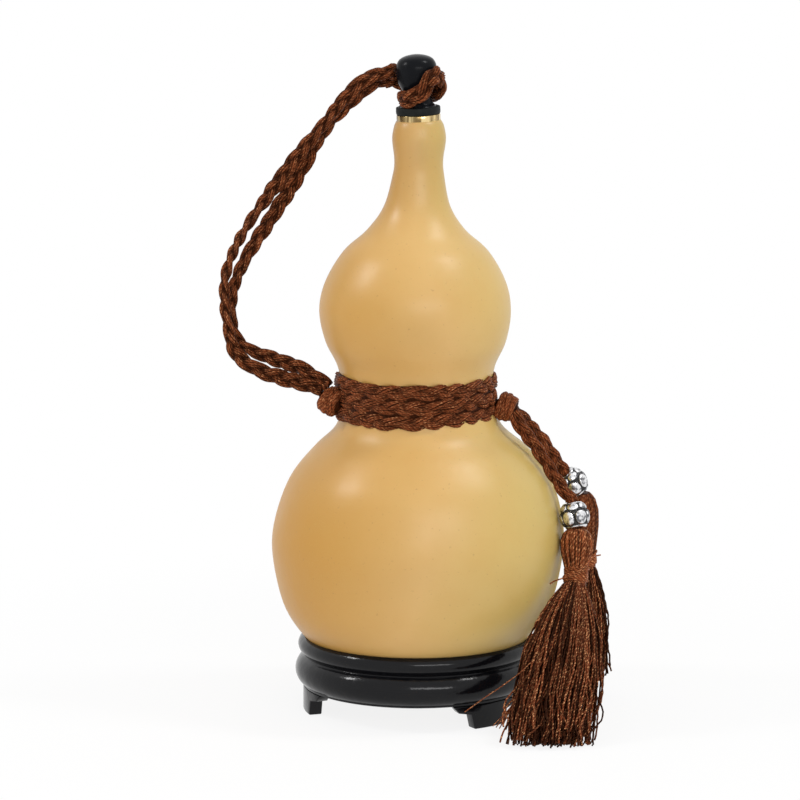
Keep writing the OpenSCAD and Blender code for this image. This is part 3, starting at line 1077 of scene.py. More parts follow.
@dataclass
class Gourd:
    """The bottle's shell with its brass mouth."""

    wall: float = 3.5 * MM
    mouth: float = 245.0 * MM
    lean: float = 2.5
    mouth_shift: float = 0.6 * MM
    ring_radius: float = 9.0 * MM
    ring_height: float = 2.7 * MM
    sleeve_radius: float = 7.0 * MM
    sleeve_length: float = 18.0 * MM
    bore_radius: float = 5.6 * MM
    sides: int = 128
    draw_in: float = 0.11
    draw_in_from: float = 242.8
    outline: Pairs = field(
        default_factory=lambda: [
            (-20, 14), (0, 11.2), (20, 14), (36, 22), (47.6, 32.3), (55.6, 45.3), (60, 64.5), (59.5, 79),
            (54.2, 96), (44.9, 108.5), (34.4, 118.5), (30.8, 130.5), (32.4, 143.4), (37.3, 154.2),
            (39.5, 166.7), (37.2, 178.6), (30, 191), (20.4, 199.8), (13.7, 209.7), (10.6, 222.4),
            (10, 229), (11, 238), (9.6, 245.5), (9, 251),
        ]
    )
    neck_drift: Pairs = field(
        default_factory=lambda: [
            (0, 0), (45, 0), (64.5, 0.4), (79, 0.9), (96, 1.4), (108.5, 1.7), (118.5, 1.0), (130, -0.1),
            (168, -0.75), (200, -0.4), (225, 0.6), (238, 0.8), (260, 0.8),
        ]
    )

    def mouth_matrix(self) -> Matrix:
        """Place of the mouth: its own origin on the cut, leaning to the left."""
        turn = Matrix.Rotation(math.radians(-self.lean), 4, "Y")
        return Matrix.Translation((self.mouth_shift, 0, self.mouth)) @ turn

    def stations(self) -> Pairs:
        """Lays out the rings of the outer skin, the mouth's bore and the inner skin.

        Returns:
            Radius and height of each ring, in metres.
        """
        skin = rounded(self.outline)
        drawn = [self.draw_in * max(0.0, q[1] - self.draw_in_from) ** 2 for q in skin]
        outer = [q - np.array([d, 0.0]) for q, d in zip(skin, drawn)]
        outer = [q for q in outer if q[0] > 1.0]
        ahead = [b - a for a, b in zip([outer[0], *outer[:-1]], [*outer[1:], outer[-1]])]
        inner = []
        for q, t in zip(outer, ahead):
            inner.append(q + self.wall / MM * np.array([-t[1], t[0]]) / np.linalg.norm(t))
        narrowest, highest = 7.2, 204.0
        inner = [q for q in inner if q[0] > narrowest and q[1] < highest]
        bore = [(8.3, 245.7), (7.6, 245.4), (7.05, 245.0), (7.05, 206.0)]
        rings = [*outer, *bore, *reversed(inner), (2.0, inner[0][1])]
        return [(max(r, 0.5) * MM, z * MM) for r, z in rings]

    def build(self, finishes: Finishes) -> None:
        """Builds and dresses the shell and its mouth, and dresses the coat inside.

        Args:
            finishes: Finishes of the bottle.
        """
        shell = Bench.turn("gourd_rind_shell", self.stations(), self.sides)
        self._grow(shell)
        Bench.smooth(shell, 60)
        Bench.fit(shell, finishes.rind, "gourd", "gourd_shell")
        edge = 0.45 * MM
        r, h, b = self.ring_radius, self.ring_height, self.bore_radius
        s, length = self.sleeve_radius, self.sleeve_length
        section = [
            (b, -length), (s, -length), (s, -0.02 * MM), (r - edge, 0.02 * MM),
            (r - 0.1 * MM, 0.14 * MM), (r, edge), (r, h - edge), (r - 0.14 * MM, h - 0.12 * MM),
            (r - edge, h), (b + 0.3 * MM, h), (b, h - 0.3 * MM), (b, -length),
        ]
        collar = Bench.turn("brass_mouth_ring", section, closed=True)
        Bench.lean(collar, self.mouth_matrix())
        Bench.smooth(collar, 35)
        Bench.fit(collar, finishes.brass, "gourd", "brass_collar")
        Bench.dress(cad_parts["inner_coat"], finishes.coat)
        LOG.info("gourd: %d faces", len(shell.data.polygons))

    def _grow(self, shell: Piece) -> None:
        """Gives the turned skin the small unevenness of a grown one.

        Args:
            shell: The turned shell, whose vertices are moved.
        """
        heights, drifts = zip(*self.neck_drift)
        co = Bench.vertices(shell.data)
        z = co[:, 2] / MM
        angle = np.arctan2(co[:, 1], co[:, 0])
        body = np.clip((z - 34) / 12, 0, 1) * np.clip((228 - z) / 30, 0, 1)
        swell = 1 + body * (
            0.0045 * np.cos(2 * angle + 0.6 + z / 70)
            + 0.0035 * np.cos(3 * angle - z / 45)
            + 0.0022 * np.cos(5 * angle + 1.3 + z / 30)
            + 0.0016 * np.sin(z / 7.5 + 2 * np.cos(angle))
        )
        co[:, 0] = co[:, 0] * swell + np.interp(z, heights, drifts) * MM
        co[:, 1] = co[:, 1] * swell
        shell.data.vertices.foreach_set("co", co.ravel())
        shell.data.update()


@dataclass
class Stopper:
    """Knob, gasket and plug, with the cord hitched round the knob's waist."""

    gourd: Gourd
    gasket_foot: float = 2.8 * MM
    gasket_top: float = 5.8 * MM
    gasket_radius: float = 9.05 * MM
    stem_radius: float = 3.0 * MM
    plug_radius: float = 5.5 * MM
    rib_pitch: float = 3.6 * MM
    hitch_route: list[Point] = field(
        default_factory=lambda: [
            (-13, 9.9, 260.6), (-8.5, 12.6, 260.6), (-4.5, 12, 258), (-2.2, 10, 255.4),
            (-3.4, 6.4, 253.6), (-5.8, 2, 253.2), (-6, -3.2, 253.9), (-4.4, -7.3, 254.5),
            (-1.9, -9.5, 255.3), (0.9, -10.2, 257), (3.2, -10.9, 259.9), (4.9, -10.9, 262.6),
            (6.4, -9.5, 264.2), (8.4, -6, 264.7), (9.7, -2, 262.6), (9.9, 1.5, 259.4), (8.7, 4.7, 256.1),
            (5.7, 8.2, 255.2), (1.6, 11, 257.4), (-3, 11.8, 261), (-7.6, 10, 263.6), (-12, 5.8, 264.2),
        ]
    )
    knob_outline: Pairs = field(
        default_factory=lambda: [
            (7.8, -2), (7.4, 0), (6.2, 1.4), (5.5, 3.4), (5.6, 5.4), (6.6, 7.6), (7.6, 9.8), (8.2, 12.2),
            (8.35, 15), (8, 17.4), (6.8, 19.4), (4.6, 20.6), (2, 21.2), (0.4, 21.3), (-3, 21.2),
        ]
    )

    def build(self, finishes: Finishes) -> None:
        """Builds and dresses the stopper's pieces.

        Args:
            finishes: Finishes of the bottle.
        """
        place = self.gourd.mouth_matrix()
        base = self.gasket_top / MM
        rings = [(3.0, -16.0), (3.0, base - 0.01)]
        rings += [(max(r, 0.3), z + base) for r, z in rounded(self.knob_outline)]
        knob = Bench.turn("polished_stopper_knob", [(r * MM, z * MM) for r, z in rings])
        Bench.lean(knob, place)
        Bench.smooth(knob, 50)
        Bench.fit(knob, finishes.knob, "stopper", "stopper_knob")
        r, low, high, edge = self.gasket_radius, self.gasket_foot, self.gasket_top, 0.4 * MM
        section = [
            (self.stem_radius, low), (r - edge, low), (r - 0.12 * MM, low + 0.12 * MM), (r, low + edge),
            (r + 0.05 * MM, (low + high) / 2), (r, high - edge), (r - 0.12 * MM, high - 0.12 * MM),
            (r - edge, high), (self.stem_radius, high), (self.stem_radius, low),
        ]
        gasket = Bench.turn("rubber_gasket_disc", section, closed=True)
        Bench.lean(gasket, place)
        Bench.smooth(gasket, 40)
        Bench.fit(gasket, finishes.rubber, "stopper", "stopper_gasket")
        self._plug(finishes)
        self._hitch(finishes)
        LOG.info("stopper: knob, gasket and hitch")

    def _plug(self, finishes: Finishes) -> None:
        """Turns the ribbed silicone plug that seals the brass mouth.

        Args:
            finishes: Finishes of the bottle.
        """
        groove, rib, high, ribs = 4.85 * MM, self.plug_radius, 2.4 * MM, 4
        low = high - ribs * self.rib_pitch
        section = [(self.stem_radius, low), (groove, low)]
        for k in range(ribs):
            foot = low + k * self.rib_pitch
            section += [(groove, foot + 0.7 * MM), (rib, foot + 1.0 * MM)]
            section += [(rib, foot + 2.5 * MM), (groove, foot + 2.8 * MM)]
        section += [(groove, high), (self.stem_radius, high), (self.stem_radius, low)]
        plug = Bench.turn("silicone_plug_ribs", section, 64, closed=True)
        Bench.lean(plug, self.gourd.mouth_matrix())
        Bench.smooth(plug, 35)
        Bench.fit(plug, finishes.silicone, "stopper", "stopper_plug")

    def _hitch(self, finishes: Finishes) -> None:
        """Ties the cord round the knob's waist: low at the left, up over the right shoulder and behind.

        Args:
            finishes: Finishes of the bottle.
        """
        plait = Plait(width=7.5 * MM, thickness=3.9 * MM, ring_step=0.6 * MM, shadow=0.95)
        points = Path([tuple(x * MM for x in q) for q in self.hitch_route]).points(plait.ring_step)
        axis = np.array([-0.3 * MM, 0.0, 256.0 * MM])
        face = unit_rows(points - axis)
        face[:, 2] *= 0.45
        skein = Skein("stopper_hitch_plait")
        plait.add(skein, points, unit_rows(face), random.Random(11), 0.15)
        Bench.fit(skein.build(), finishes.plait, "stopper", "stopper_hitch")


@dataclass
class CarryingCord:
    """Two plaits from the stopper to the left knot, the winding at the waist, and both knots."""

    diameter: float = 5.0 * MM
    outer_route: list[Point] = field(
        default_factory=lambda: [
            (-0.0123, 0.0038, 0.2642), (-0.0172, 0.001, 0.2633), (-0.0229, -0.0016, 0.2607),
            (-0.0335, -0.003, 0.2501), (-0.0433, -0.003, 0.2378), (-0.0518, -0.003, 0.2271),
            (-0.0609, -0.003, 0.2144), (-0.0701, -0.003, 0.2012), (-0.0771, -0.003, 0.188),
            (-0.0799, -0.003, 0.1756), (-0.0783, -0.003, 0.1598), (-0.0743, -0.0034, 0.1491),
            (-0.0644, -0.005, 0.1423), (-0.0521, -0.007, 0.1389), (-0.042, -0.0094, 0.1363),
        ]
    )
    inner_route: list[Point] = field(
        default_factory=lambda: [
            (-0.0119, 0.01, 0.2607), (-0.0168, 0.0066, 0.2598), (-0.0225, 0.004, 0.2564),
            (-0.0323, 0.003, 0.2457), (-0.0409, 0.003, 0.2354), (-0.0467, 0.003, 0.2259),
            (-0.0541, 0.0026, 0.2132), (-0.0625, 0.0026, 0.2004), (-0.0697, 0.0028, 0.1888),
            (-0.0739, 0.003, 0.1767), (-0.0744, 0.0028, 0.163), (-0.0703, 0.002, 0.1527),
            (-0.0596, -0.0006, 0.1469), (-0.048, -0.004, 0.1435), (-0.039, -0.0086, 0.1384),
        ]
    )
    blend_low: Point = (-0.06, -0.004, 0.152)
    blend_high: Point = (-0.0124, 0.005, 0.262)
    wrap_shift: float = -0.5 * MM
    wrap_radius: float = 31.9 * MM
    wrap_step: float = 6.1 * MM
    wrap_middle: float = 131.6 * MM
    wrap_turns: float = 2.5
    knot_radius: float = 6.0
    knot_run: float = 7.6

    def build(self, finishes: Finishes) -> None:
        """Builds and dresses the cord.

        Args:
            finishes: Finishes of the bottle.
        """
        outer_turns = [
            (0.0, 25.0, 5.8, 0.0), (0.12, 8.0, 6.4, 0.0), (0.2, 40.0, 5.2, 0.4), (0.29, 10.0, 6.4, 0.0),
            (0.38, 10.0, 6.4, 0.0), (0.46, 55.0, 5.6, 0.0),
            (0.58, 55.0, 5.6, 0.6), (0.66, 40.0, 5.4, 1.0), (0.74, 30.0, 5.4, 0.8), (0.8, 0.0, 6.6, 0.0),
            (0.93, 0.0, 7.2, 0.0), (1.0, 0.0, 6.2, 0.0),
        ]
        inner_turns = [
            (0.0, -25.0, 5.8, 0.0), (0.1, -10.0, 6.4, 0.0), (0.18, -30.0, 5.2, -1.6),
            (0.29, -5.0, 6.8, 0.0), (0.45, 0.0, 6.8, 0.0), (0.55, 20.0, 5.8, 0.2),
            (0.64, 25.0, 5.4, -1.1), (0.72, 25.0, 5.0, -2.0), (0.785, 5.0, 5.2, -2.2),
            (0.85, 0.0, 6.4, -0.2), (1.0, 0.0, 6.2, 0.3),
        ]
        self._lanyard("outer", self.outer_route, outer_turns, 21, finishes)
        self._lanyard("inner", self.inner_route, inner_turns, 22, finishes)
        self._wrap(finishes)
        self._knot("left", (-35.3, -9.8, 130.7), (0.8, -0.25, -0.55), 4, 31, finishes)
        self._knot("right", (36.7, -4.2, 127.1), (0.95, -0.1, -0.3), 6, 32, finishes)

    def _lanyard(
        self, side: str, route: list[Point], turns: list[tuple[float, ...]], seed: int, finishes: Finishes
    ) -> None:
        """Args:
            side: Which of the two it is, "outer" or "inner".
            route: Points of the plait's middle line.
            turns: Share of the length, turn of the flat side about its own line, width in millimetres, and
                how far the plait lies to the right of its line there.
            seed: Seed of its irregularities.
            finishes: Finishes of the bottle.
        """
        path = Path(route)
        plait = Plait()
        points = lengthened(path.points(plait.ring_step), 3.2 * MM, 3.4 * MM, plait.ring_step)
        shares, _, widths, shifts = zip(*turns)
        place = np.linspace(0.0, 1.0, len(points))
        width = np.interp(place, shares, widths) * MM
        points[:, 0] += np.interp(place, shares, shifts) * MM
        skein = Skein(f"lanyard_{side}_plait")
        plait.add(skein, points, front_faces(points, turns), random.Random(seed), seed * 0.31, width)
        piece = Bench.fit(skein.build(), finishes.plait, "gourd", f"lanyard_{side}_braid")
        path.points(2.0 * MM).tolist()
        piece.parent = None
        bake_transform(piece)
        LOG.info("%s carrying plait: %.0f mm long", side, path.length / MM)

    def _wrap(self, finishes: Finishes) -> None:
        """Winds the plait round the waist, level over the front and stepping down behind.

        Args:
            finishes: Finishes of the bottle.
        """
        skein = Skein("waist_winding_plait")
        per_turn = 212
        count = int(self.wrap_turns * per_turn)
        rings = []
        for i in range(count + 1):
            turns = self.wrap_turns * i / count
            behind = max(0.0, 2 * (turns - math.floor(turns)) - 1)
            drop = math.floor(turns) + behind * behind * (3 - 2 * behind)
            a = TAU * turns
            wave = 0.35 * MM * math.sin(3 * a + 1.0) + 0.25 * MM * math.sin(5.3 * a)
            r = self.wrap_radius + 0.25 * MM * math.sin(4 * a + 0.5)
            height = self.wrap_middle + self.wrap_step * (1 - drop) + wave
            rings.append((self.wrap_shift - r * math.cos(a), -r * math.sin(a), height))
        points = np.array(rings)
        level = np.array([1.0, 1.0, 0.0])
        face = unit_rows((points - np.array([self.wrap_shift, 0.0, 0.0])) * level)
        # Dark backing under the plait and dark seams between its turns, painted fully shaded, fill the gaps
        # between strands.
        skein.tube(points - face * 0.5 * MM, 3.2 * MM, 8, face, flat=0.24, painted_shade=1.0)
        turn = points[: per_turn + 1] * level + np.array([0.0, 0.0, self.wrap_middle])
        out = face[: per_turn + 1]
        skein.tube(turn - out * 0.9 * MM, 6.4 * MM, 8, out, flat=0.09, painted_shade=1.0)
        for side in (-0.5, 0.5):
            seam = turn + np.array([0.0, 0.0, side * self.wrap_step])
            skein.tube(seam - out * 0.15 * MM, 1.9 * MM, 8, out, flat=0.28, painted_shade=1.0)
        plait = Plait(6.9 * MM, 3.6 * MM, 29.0 * MM, looseness=0.2, fullness=0.285, shadow=0.5)
        plait.add(skein, points, face, random.Random(41))
        Bench.fit(skein.build(), finishes.plait, "gourd", "waist_wrap")
        LOG.info("waist winding: %.1f turns", self.wrap_turns)

    def _knot(
        self, side: str, centre: Point, along: Point, turns: int, seed: int, finishes: Finishes
    ) -> None:
        """Builds a knot as turns of cord laid side by side round its own line.

        Args:
            side: Which of the two it is, "left" or "right".
            centre: Middle of the knot, in millimetres.
            along: Direction of the cord through the knot.
            turns: Number of turns that show.
            seed: Seed of its irregularities.
            finishes: Finishes of the bottle.
        """
        radius = self.knot_radius
        rng = random.Random(seed)
        skein = Skein(f"{side}_knot_turns")
        axis = Vector(along).normalized()
        across = axis.cross(Vector((0, -1, 0))).normalized()
        out = across.cross(axis)
        middle = np.array(centre) * MM
        thick = self.knot_run / turns
        per_turn, overlap = 50, 3
        for k in range(turns):
            shift = (k - (turns - 1) / 2) * (self.knot_run - 2 * thick) / (turns - 1)
            r = (radius - thick) * math.sqrt(1 - (shift / (radius * 1.05)) ** 2)
            tilt = rng.uniform(0.1, 0.32) * (1 if k % 2 else -1)
            ring = []
            for i in range(per_turn + overlap):
                a = TAU * i / per_turn + 2.1 * k
                slide = shift + tilt * 2.4 * math.sin(a + 0.7 * k)
                swell = r * (1 + 0.07 * math.sin(2 * a + k))
                point = Vector(centre) + axis * slide + across * (swell * math.cos(a))
                ring.append((point + out * (swell * math.sin(a))) * MM)
            points = np.array(ring)
            strand = Strand(1.08 * thick * MM, 0.95 * thick * MM, 10, 30.0 * MM)
            strand.add(skein, points, unit_rows(points - middle), rng)
        # A core painted fully shaded fills the middle of the knot.
        places = np.linspace(-1, 1, 12)
        core = np.array([middle + np.array(axis) * (radius * 0.85 * f * MM) for f in places])
        fat = (radius - 2.4) * np.sqrt(np.maximum(0.1, 1 - places**2 * 0.85)) * MM
        skein.tube(core, fat, 16, painted_shade=1.0)
        Bench.fit(skein.build(), finishes.plait, "gourd", f"{side}_knot")
        LOG.info("%s knot: %d turns", side, turns)


@dataclass
class Bead:
    """Barrel bead with two staggered rows of raised petals."""

    name: str
    node: str
    body: str
    top: Point
    bottom: Point
    spin: float
    radius: float = 6.3 * MM
    length: float = 10.8 * MM
    petals: int = 6
    end_radius: float = 3.5 * MM
    relief: float = 0.75 * MM
    hole: float = 2.35 * MM
    groove_depth: float = 0.3 * MM
    row_split: float = 0.675
    row_middles: tuple[float, float] = (0.82, 0.39)
    row_reaches: tuple[float, float] = (0.14, 0.285)

    def matrix(self) -> Matrix:
        """Works out the bead's place, with its middle on the middle of its cord loop.

        Returns:
            The place, with the first petal seam in front and turned by the spin.
        """
        a, b = Vector(self.top), Vector(self.bottom)
        z = (a - b).normalized()
        x = (Vector((0, -1, 0)) + z * z.y).normalized()
        y = z.cross(x)
        turn = Matrix((x, y, z)).transposed().to_4x4()
        spin = Matrix.Rotation(math.radians(self.spin), 4, "Z")
        return Matrix.Translation((a + b) / 2) @ turn @ spin

    def build(self, finishes: Finishes) -> Piece:
        """Builds and dresses the bead.

        Args:
            finishes: Finishes of the bottle.

        Returns:
            The bead.
        """
        rows = 49
        half = self.length / 2
        hole = self.hole
        rings = [(hole, -half + 0.4 * MM), (hole + 0.25 * MM, -half + 0.05 * MM)]
        rise = self.radius - self.relief - self.end_radius
        for i in range(rows):
            f = (i + 0.5) / rows
            rings.append((self.end_radius + rise * math.sin(math.pi * f) ** 0.6, (f - 0.5) * self.length))
        rings += [(hole + 0.25 * MM, half - 0.05 * MM), (hole, half - 0.4 * MM), (hole, -half + 0.4 * MM)]
        piece = Bench.turn(self.name, rings, 144, closed=True)
        self._emboss(piece)
        Bench.lean(piece, self.matrix())
        Bench.smooth(piece, 60)
        return Bench.fit(piece, finishes.silver, self.body, self.node)

    def _emboss(self, piece: Piece) -> None:
        """Raises the petals and marks the recesses between them.

        Args:
            piece: The plain bead, standing at the origin.
        """
        mesh = piece.data
        co = Bench.vertices(mesh)
        f = co[:, 2] / self.length + 0.5
        a = np.arctan2(co[:, 1], co[:, 0]) / TAU * self.petals
        r = np.hypot(co[:, 0], co[:, 1])
        row = (f >= self.row_split).astype(float)
        middle = np.where(row > 0, *self.row_middles)
        reach = np.where(row > 0, *self.row_reaches)
        across = 2 * ((a + row / 2) % 1.0) - 1
        along = (f - middle) / reach
        point = np.clip(np.where(row > 0, -along, along), 0, 1)
        span = np.sqrt((across / (0.97 - 0.22 * point**2)) ** 2 + np.abs(along) ** 2.6)
        bulge = np.clip(1 - span**3.4, 0, 1) ** 0.55
        groove = np.exp(-(((span - 1.02) / 0.1) ** 2))
        rim = np.clip((0.105 - f) / 0.03, 0, 1) + np.clip((f - 0.95) / 0.03, 0, 1)
        skin = np.clip((r - 2.9 * MM) / (0.5 * MM), 0, 1) * np.sin(np.pi * np.clip(f, 0, 1)) ** 0.4
        lift = (bulge * self.relief + rim * 0.35 * MM - groove * self.groove_depth * (1 - rim)) * skin
        scale = (r + lift) / np.maximum(r, 1e-6)
        co[:, 0] *= scale
        co[:, 1] *= scale
        mesh.vertices.foreach_set("co", co.ravel())
        recess = np.clip(groove * 1.3 + 0.75 * (span > 1.16), 0, 1) * (1 - rim) * (r > 2.6 * MM)
        attribute = mesh.attributes.new("recess", "FLOAT", "POINT")
        attribute.data.foreach_set("value", recess.astype(np.float32))
        mesh.update()


@dataclass
class Tassel:
    """Head, binding and skirt of one tassel, strung under its bead."""

    prefix: str
    body: str
    top: Point
    waist: Point
    hem_top: Point
    end: Point
    end_wide: float
    end_deep: float
    strands: int
    ragged: float
    seed: int
    loose_threads: list[list[Point]] = field(default_factory=list)
    arms: list[list[Point]] = field(default_factory=list)
    opened: float = 0.72
    # Extra painted shade over the whole head, for a tassel that hangs in shade.
    painted_head_shade: float = 0.0
    head_radius: float = 6.7 * MM
    binding_radius: float = 4.6 * MM
    strand_radius: float = 0.39 * MM
    floor: float = 0.4 * MM
    crimp_length: float = 4.6 * MM
    head_profile: Pairs = field(
        default_factory=lambda: [
            (0.0, 0.50), (0.1, 0.84), (0.3, 1.0), (0.55, 0.96), (0.8, 0.82), (1.0, 0.70), (1.12, 0.66),
        ]
    )

    def build(self, finishes: Finishes) -> list[Piece]:
        """Builds and dresses the tassel.

        Args:
            finishes: Finishes of the bottle.

        Returns:
            Head, binding and skirt.
        """
        pieces = [self._head(finishes), self._binding(finishes), self._skirt(finishes)]
        LOG.info("%s tassel: %d strands", self.prefix, self.strands)
        return pieces

    def _head(self, finishes: Finishes) -> Piece:
        """Folds the yarn over the loop: full shoulders that draw in to the binding.

        Args:
            finishes: Finishes of the bottle.

        Returns:
            The head.
        """
        rng = random.Random(self.seed)
        line = Spindle(self.top, self.waist)
        skein = Skein(f"{self.prefix}_tassel_head_yarn")
        places, widths = zip(*self.head_profile)

        def radius(f: float) -> float:
            """Radius of the head at a share of its length."""
            return np.interp(f, places, widths) * self.head_radius

        shares = np.linspace(0.0, 1.1, 16)
        core = np.array([line.at(f) for f in shares])
        # A core painted nearly fully shaded fills the head between its strands.
        skein.tube(core, np.array([radius(f) * 0.86 for f in shares]), 24, painted_shade=0.9)
        count = 46
        for k in range(count):
            angle = TAU * (k + rng.uniform(-0.25, 0.25)) / count
            share = rng.uniform(0.90, 0.955)
            twist = rng.uniform(-0.12, 0.12)
            bow = rng.uniform(0.0, 0.03)
            points = []
            for f in np.linspace(0.01, 1.08, 20):
                out = share + bow * math.sin(math.pi * f)
                points.append(line.round(f, radius(f) * out, angle + twist * f))
            # Painted shade: some strands darker at random, and the whole head darker by its extra painted
            # shade.
            painted_shade = self.painted_head_shade + rng.choice((0.0, 0.0, 0.15, 0.45, 0.8))
            skein.tube(np.array(points), 0.5 * MM, 7, painted_shade=painted_shade, start=rng.uniform(0, 50))
        return Bench.fit(skein.build(), finishes.head_yarn, self.body, f"{self.prefix}_tassel_head")

    def _binding(self, finishes: Finishes) -> Piece:
        """Wraps thread round the neck of the tassel, with one slanting turn over the rest.

        Args:
            finishes: Finishes of the bottle.

        Returns:
            The binding.
        """
        neck = Spindle(self.waist, self.hem_top)
        skein = Skein(f"{self.prefix}_tassel_binding_thread")
        turns, per_turn, thread = 9, 40, 0.42 * MM
        r0 = self.binding_radius - thread

        def wound(first: float, last: float, count: float, radius: float, lift: float) -> np.ndarray:
            """Points of a helix on the binding."""
            n = int(count * per_turn) + 1
            points = []
            for i in range(n):
                t = i / (n - 1)
                angle = TAU * count * t + lift
                r = radius + 0.12 * MM * math.sin(3.1 * angle)
                points.append(neck.round(first + (last - first) * t, r, angle))
            return np.array(points)

        # Painted shade: lower turns and the core darker, the top slanting turn left bright.
        skein.tube(wound(-0.06, 1.02, turns, r0, 0.0), thread, 7, painted_shade=0.2)
        skein.tube(wound(0.9, 0.1, turns - 2.5, r0 + 0.45 * MM, 1.7), thread, 7, painted_shade=0.05)
        skein.tube(wound(0.75, 0.0, 0.6, r0 + 0.9 * MM, 2.6), thread, 7)
        core = np.array([neck.at(s) for s in (-0.05, 0.5, 1.05)])
        skein.tube(core, r0 - 0.1 * MM, 20, painted_shade=1.0)
        for arm in self.arms:
            skein.tube(Path(arm).points(0.8 * MM), 0.34 * MM, 6)
        return Bench.fit(skein.build(), finishes.head_yarn, self.body, f"{self.prefix}_tassel_binding")

    def _skirt(self, finishes: Finishes) -> Piece:
        """Lets the yarn fall from the binding to its cut end, each strand on its own line.

        Args:
            finishes: Finishes of the bottle.

        Returns:
            The skirt.
        """
        rng = random.Random(self.seed + 2)
        fall = Spindle(self.hem_top, self.end)
        skein = Skein(f"{self.prefix}_tassel_skirt_yarn")
        rings = 34
        narrow = self.binding_radius * 0.86
        for k in range(self.strands):
            share = math.sqrt((k + 0.5) / self.strands)
            angle = k * GOLDEN_ANGLE
            u, v = share * math.cos(angle), share * math.sin(angle)
            reach = 1.05 - self.ragged * (rng.random() ** 1.5 + 0.5 * max(u, 0.0))
            # Painted shade: strands inside the skirt darker, and some strands dark at random as shaded gaps.
            painted_shade = min(1.4 * (1 - share) + rng.choice((0.0, 0.0, 0.15, 0.5, 0.9, 1.0)), 1.0)
            sway = [rng.uniform(-1, 1) for _ in range(7)]
            spread = rng.uniform(0.88, 1.04)
            wild = rng.uniform(2.0, 4.6) if rng.random() < 0.3 else 1.35
            points = []
            for i in range(rings):
                s = reach * i / (rings - 1)
                full = (1 - max(0.0, 1 - s / self.opened) ** 2.3) * spread
                loose = s**1.2 * MM * wild
                crimp = 0.15 * MM * math.sin(TAU * s * fall.length / self.crimp_length + 3 * sway[6])
                x = (narrow + (self.end_wide - narrow) * full) * u + crimp
                slow = 1.7 * sway[0] * math.sin(6.5 * s + 3 * sway[1])
                x += loose * (slow + 0.8 * sway[2] * math.sin(17 * s + 3 * sway[3]))
                y = (narrow + (self.end_deep - narrow) * full) * v + crimp * sway[3]
                y += loose * 1.4 * sway[4] * math.sin(6 * s + 3 * sway[5])
                q = fall.at(s, x, y)
                q.z = max(q.z, self.floor + self.strand_radius)
                points.append(q)
            skein.tube(np.array(points), self.strand_radius, 5, painted_shade=painted_shade, start=rng.uniform(0, 60))
        for thread in self.loose_threads:
            skein.tube(Path(thread).points(1.2 * MM), 0.24 * MM, 5)
        return Bench.fit(skein.build(), finishes.yarn, self.body, f"{self.prefix}_tassel_skirt")


@dataclass
class Tail:
    """One tail: its plait through the bead, the bead and the tassel."""

    name: str
    body: str
    route: list[Point]
    bead: Bead
    tassel: Tassel
    nodes: tuple[str, str]
    seed: int
    turns: Pairs
    diameter: float = 5.0 * MM

    def build(self, finishes: Finishes) -> None:
        """Args:
            finishes: Finishes of the bottle.
        """
        bead = self.bead.build(finishes)
        pieces = self.tassel.build(finishes)
        path = Path([*self.route, self.bead.bottom])
        plait = Plait(5.9 * MM, 3.9 * MM, 25.0 * MM, ring_step=0.7 * MM, looseness=0.2, shadow=0.6)
        points = path.points(plait.ring_step)
        inside = self._above_bead(points)
        outer = lengthened(points[:inside], 3.5 * MM, 0.0, plait.ring_step)
        skein = Skein(self.name)
        plait.add(skein, outer, front_faces(outer, self.turns), random.Random(self.seed), self.seed * 0.17)
        strung = points[inside - 3 :]
        level = front_faces(strung, [(0.0, 0.0), (1.0, 0.0)])
        Strand(1.95 * MM, 1.95 * MM, threads=10).add(skein, strung, level, random.Random(5))
        piece = Bench.fit(skein.build(), finishes.plait, self.body, *self.nodes)
        path.points(1.0 * MM).tolist()
        LOG.info("%s: %.0f mm long", self.name, path.length / MM)

    def _above_bead(self, points: np.ndarray) -> int:
        """Number of points before the bead's top."""
        top = np.array(self.bead.top)
        return int(np.argmin(np.linalg.norm(points - top, axis=1))) + 1


